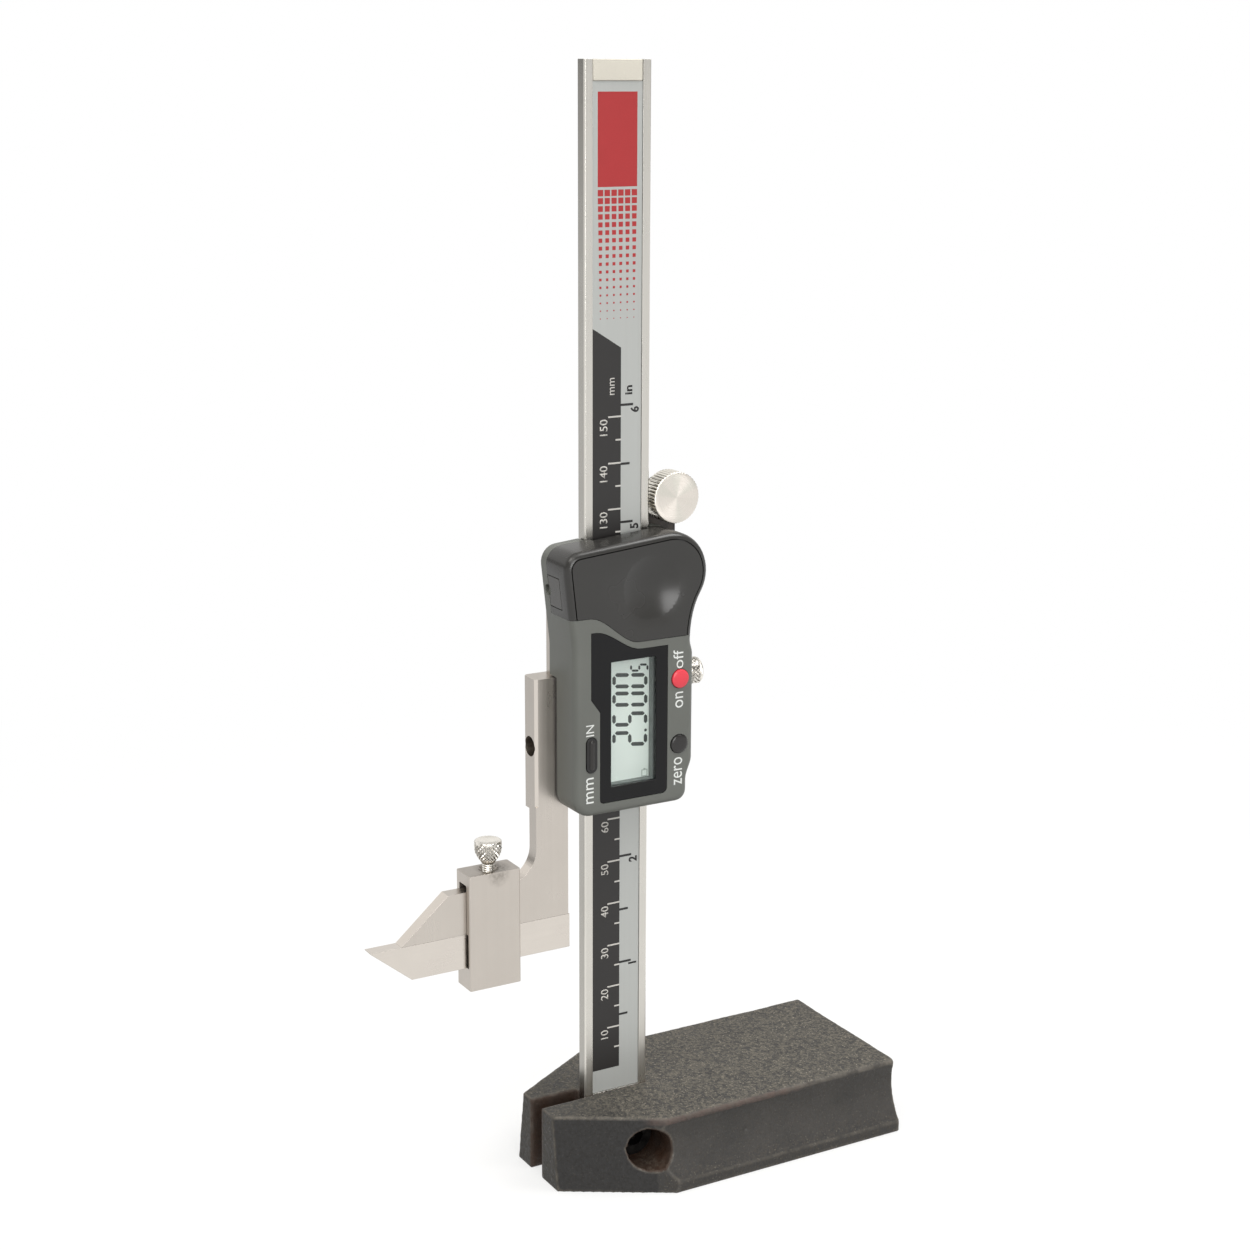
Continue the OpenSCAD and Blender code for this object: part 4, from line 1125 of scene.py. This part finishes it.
def button_cap(name, node, x, half, rise, reach, material):
    """A dome on a button's face, drawn out along Z by reach either way."""
    low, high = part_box(node)
    z = (low.z + high.z) / 2
    turn = [math.pi * i / CAP_TURNS for i in range(CAP_TURNS + 1)]
    loops = []
    for k in range(CAP_STEPS + 1):
        angle = math.pi / 2 * min(k / CAP_STEPS, CAP_STEEPEST)
        wide = half * math.cos(angle)
        y = low.y - rise * math.sin(angle)
        loops.append([(x + side * wide * math.cos(a), y, z + side * (reach + wide * math.sin(a)))
                      for side in (1, -1) for a in turn])
    count = len(loops[0])
    points = [point for loop in loops for point in loop]
    caps = [tuple(range(count)), tuple(range(len(points) - count, len(points)))]
    mesh = outward_mesh(name, points, walls(count, len(loops)) + caps, 0.001 * MM)
    smooth_shading(new_piece(name, mesh, node, material))


def button_caps():
    """The round buttons are domed, and the long one has a rib; the caps are painted lighter than the buttons'
    bodies, as painted highlight.
    """
    red = moulded_plastic("cap_red_painted_highlight", srgb(230, 68, 81), 0.26)
    black = moulded_plastic("cap_black_painted_highlight", srgb(37, 35, 34), 0.2)
    rib = moulded_plastic("cap_rib_painted_highlight", srgb(36, 34, 32), 0.2)
    for node, material in (("power_button", red), ("zero_button", black)):
        button_cap(node + "_dome", node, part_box(node)[1].x - BUTTON_R, DOME_R, DOME_RISE, 0.0, material)
    low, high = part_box("unit_button")
    button_cap("unit_button_rib", "unit_button", (low.x + high.x) / 2, RIB_R, RIB_RISE, RIB_REACH, rib)


# Floor, world and lamps

WHITE = (1, 1, 1, 1)
FLOOR_HALF = 6.0
FLOOR_PAINT = (0.9, 0.9, 0.89, 1)
# The glow's share of the floor near the gauge, and the distances over which it grows to the whole
NEAR_GLOW = 0.66
GLOW_RANGE = (0.07, 0.42)


def floor_finish():
    material = bpy.data.materials.new("floor")
    material.use_nodes = True
    material.node_tree.nodes.clear()
    graph = Graph(material.node_tree)
    paint = graph.node("BsdfDiffuse", {"Color": FLOOR_PAINT}).outputs["BSDF"]
    seen = graph.rays("Is Camera Ray", "Is Glossy Ray", "Is Transmission Ray")
    glow = graph.node("Emission", {"Color": WHITE, "Strength": seen}).outputs["Emission"]
    away = graph.vector("LENGTH", graph.node("NewGeometry").outputs["Position"])
    whiter = graph.spread(away, NEAR_GLOW, 1.0, *GLOW_RANGE, interpolation_type="SMOOTHSTEP")
    shader = graph.node("MixShader", {"Fac": whiter, 1: paint, 2: glow}).outputs["Shader"]
    graph.node("OutputMaterial", {"Surface": shader})
    return material


def floor():
    """A plain pale floor: white to the camera, and it keeps the object's shadow."""
    mesh = bpy.data.meshes.new("floor")
    corners = [(x * FLOOR_HALF, y * FLOOR_HALF, 0) for x, y in ((-1, -1), (1, -1), (1, 1), (-1, 1))]
    mesh.from_pydata(corners, [], [(0, 1, 2, 3)])
    mesh.materials.append(floor_finish())
    add_object("floor", mesh)


ROOM_COLOR = (1.0, 0.99, 0.975, 1)
# Where the room turns from its front to its wall, by Y of the direction
WALL_RANGE = (-0.1, 0.45)
# Strength of the room's light by the height of its direction, from 0 at the horizon to 1 straight up
FRONT_LIGHT = ((0.0, 0.74), (0.2, 0.6), (0.38, 0.34), (0.66, 0.34), (0.9, 1.3))
WALL_LIGHT = ((0.1, 0.3), (0.22, 1.0), (0.6, 1.0), (0.85, 0.45))


def strength(graph, height, stops):
    """A light's strength that goes through the stops, each a height and a level."""
    made = graph.node("ValToRGB", {"Fac": height})
    elements = made.color_ramp.elements
    elements.remove(elements[1])
    elements[0].position = stops[0][0]
    elements[0].color = (stops[0][1],) * 3 + (1,)
    for place, level in stops[1:]:
        elements.new(place).color = (level,) * 3 + (1,)
    return made.outputs["Color"]


def world():
    """A soft grey room for the light, and plain white where the camera sees it."""
    made = bpy.data.worlds.new("studio")
    made.use_nodes = True
    bpy.context.scene.world = made
    made.node_tree.nodes.clear()
    graph = Graph(made.node_tree)
    direction = graph.node("TexCoord").outputs["Generated"]
    parts = graph.node("SeparateXYZ", {"Vector": direction}).outputs
    inputs = {"Factor": graph.spread(parts["Y"], 0, 1, *WALL_RANGE),
              "A": strength(graph, parts["Z"], FRONT_LIGHT), "B": strength(graph, parts["Z"], WALL_LIGHT)}
    level = graph.node("Mix", inputs).outputs["Result"]
    room = graph.node("Background", {"Color": ROOM_COLOR, "Strength": level}).outputs["Background"]
    white = graph.node("Background", {"Color": WHITE}).outputs["Background"]
    seen = graph.rays("Is Camera Ray", "Is Transmission Ray")
    shader = graph.node("MixShader", {"Fac": seen, 1: room, 2: white}).outputs["Shader"]
    graph.node("OutputWorld", {"Surface": shader})


# Square soft boxes that look at the middle of the gauge: place, side, power and colour
LAMP_AIM = Vector((0, 0, 0.1))
LAMPS = {
    "key": ((-0.4, -0.62, 0.8), 0.5, 1.7, (1.0, 0.985, 0.96)),
    "window": ((-0.1, -0.92, 0.31), 0.48, 3.6, (1, 1, 1)),
    "top": ((0.52, -0.24, 0.98), 0.5, 4.4, (1, 1, 1)),
    "corner": ((-0.62, -0.22, 0.95), 0.36, 2.0, (1.0, 0.97, 0.9)),
}


def lamps():
    for name, (place, side, power, color) in LAMPS.items():
        data = bpy.data.lights.new(name, "AREA")
        data.shape = "SQUARE"
        data.size = side
        data.energy = power
        data.color = color
        made = add_object(name, data)
        made.location = place
        made.rotation_euler = (LAMP_AIM - Vector(place)).to_track_quat("-Z", "Y").to_euler()


add_camera()
world()
lamps()
floor()
base_casting()
dress_frame()
button_caps()
thumb_wheel()
knurled_screws()
scale_print()
label_trim()
housing_print()
display_digits()

bpy.context.scene.view_settings.view_transform = "Standard"
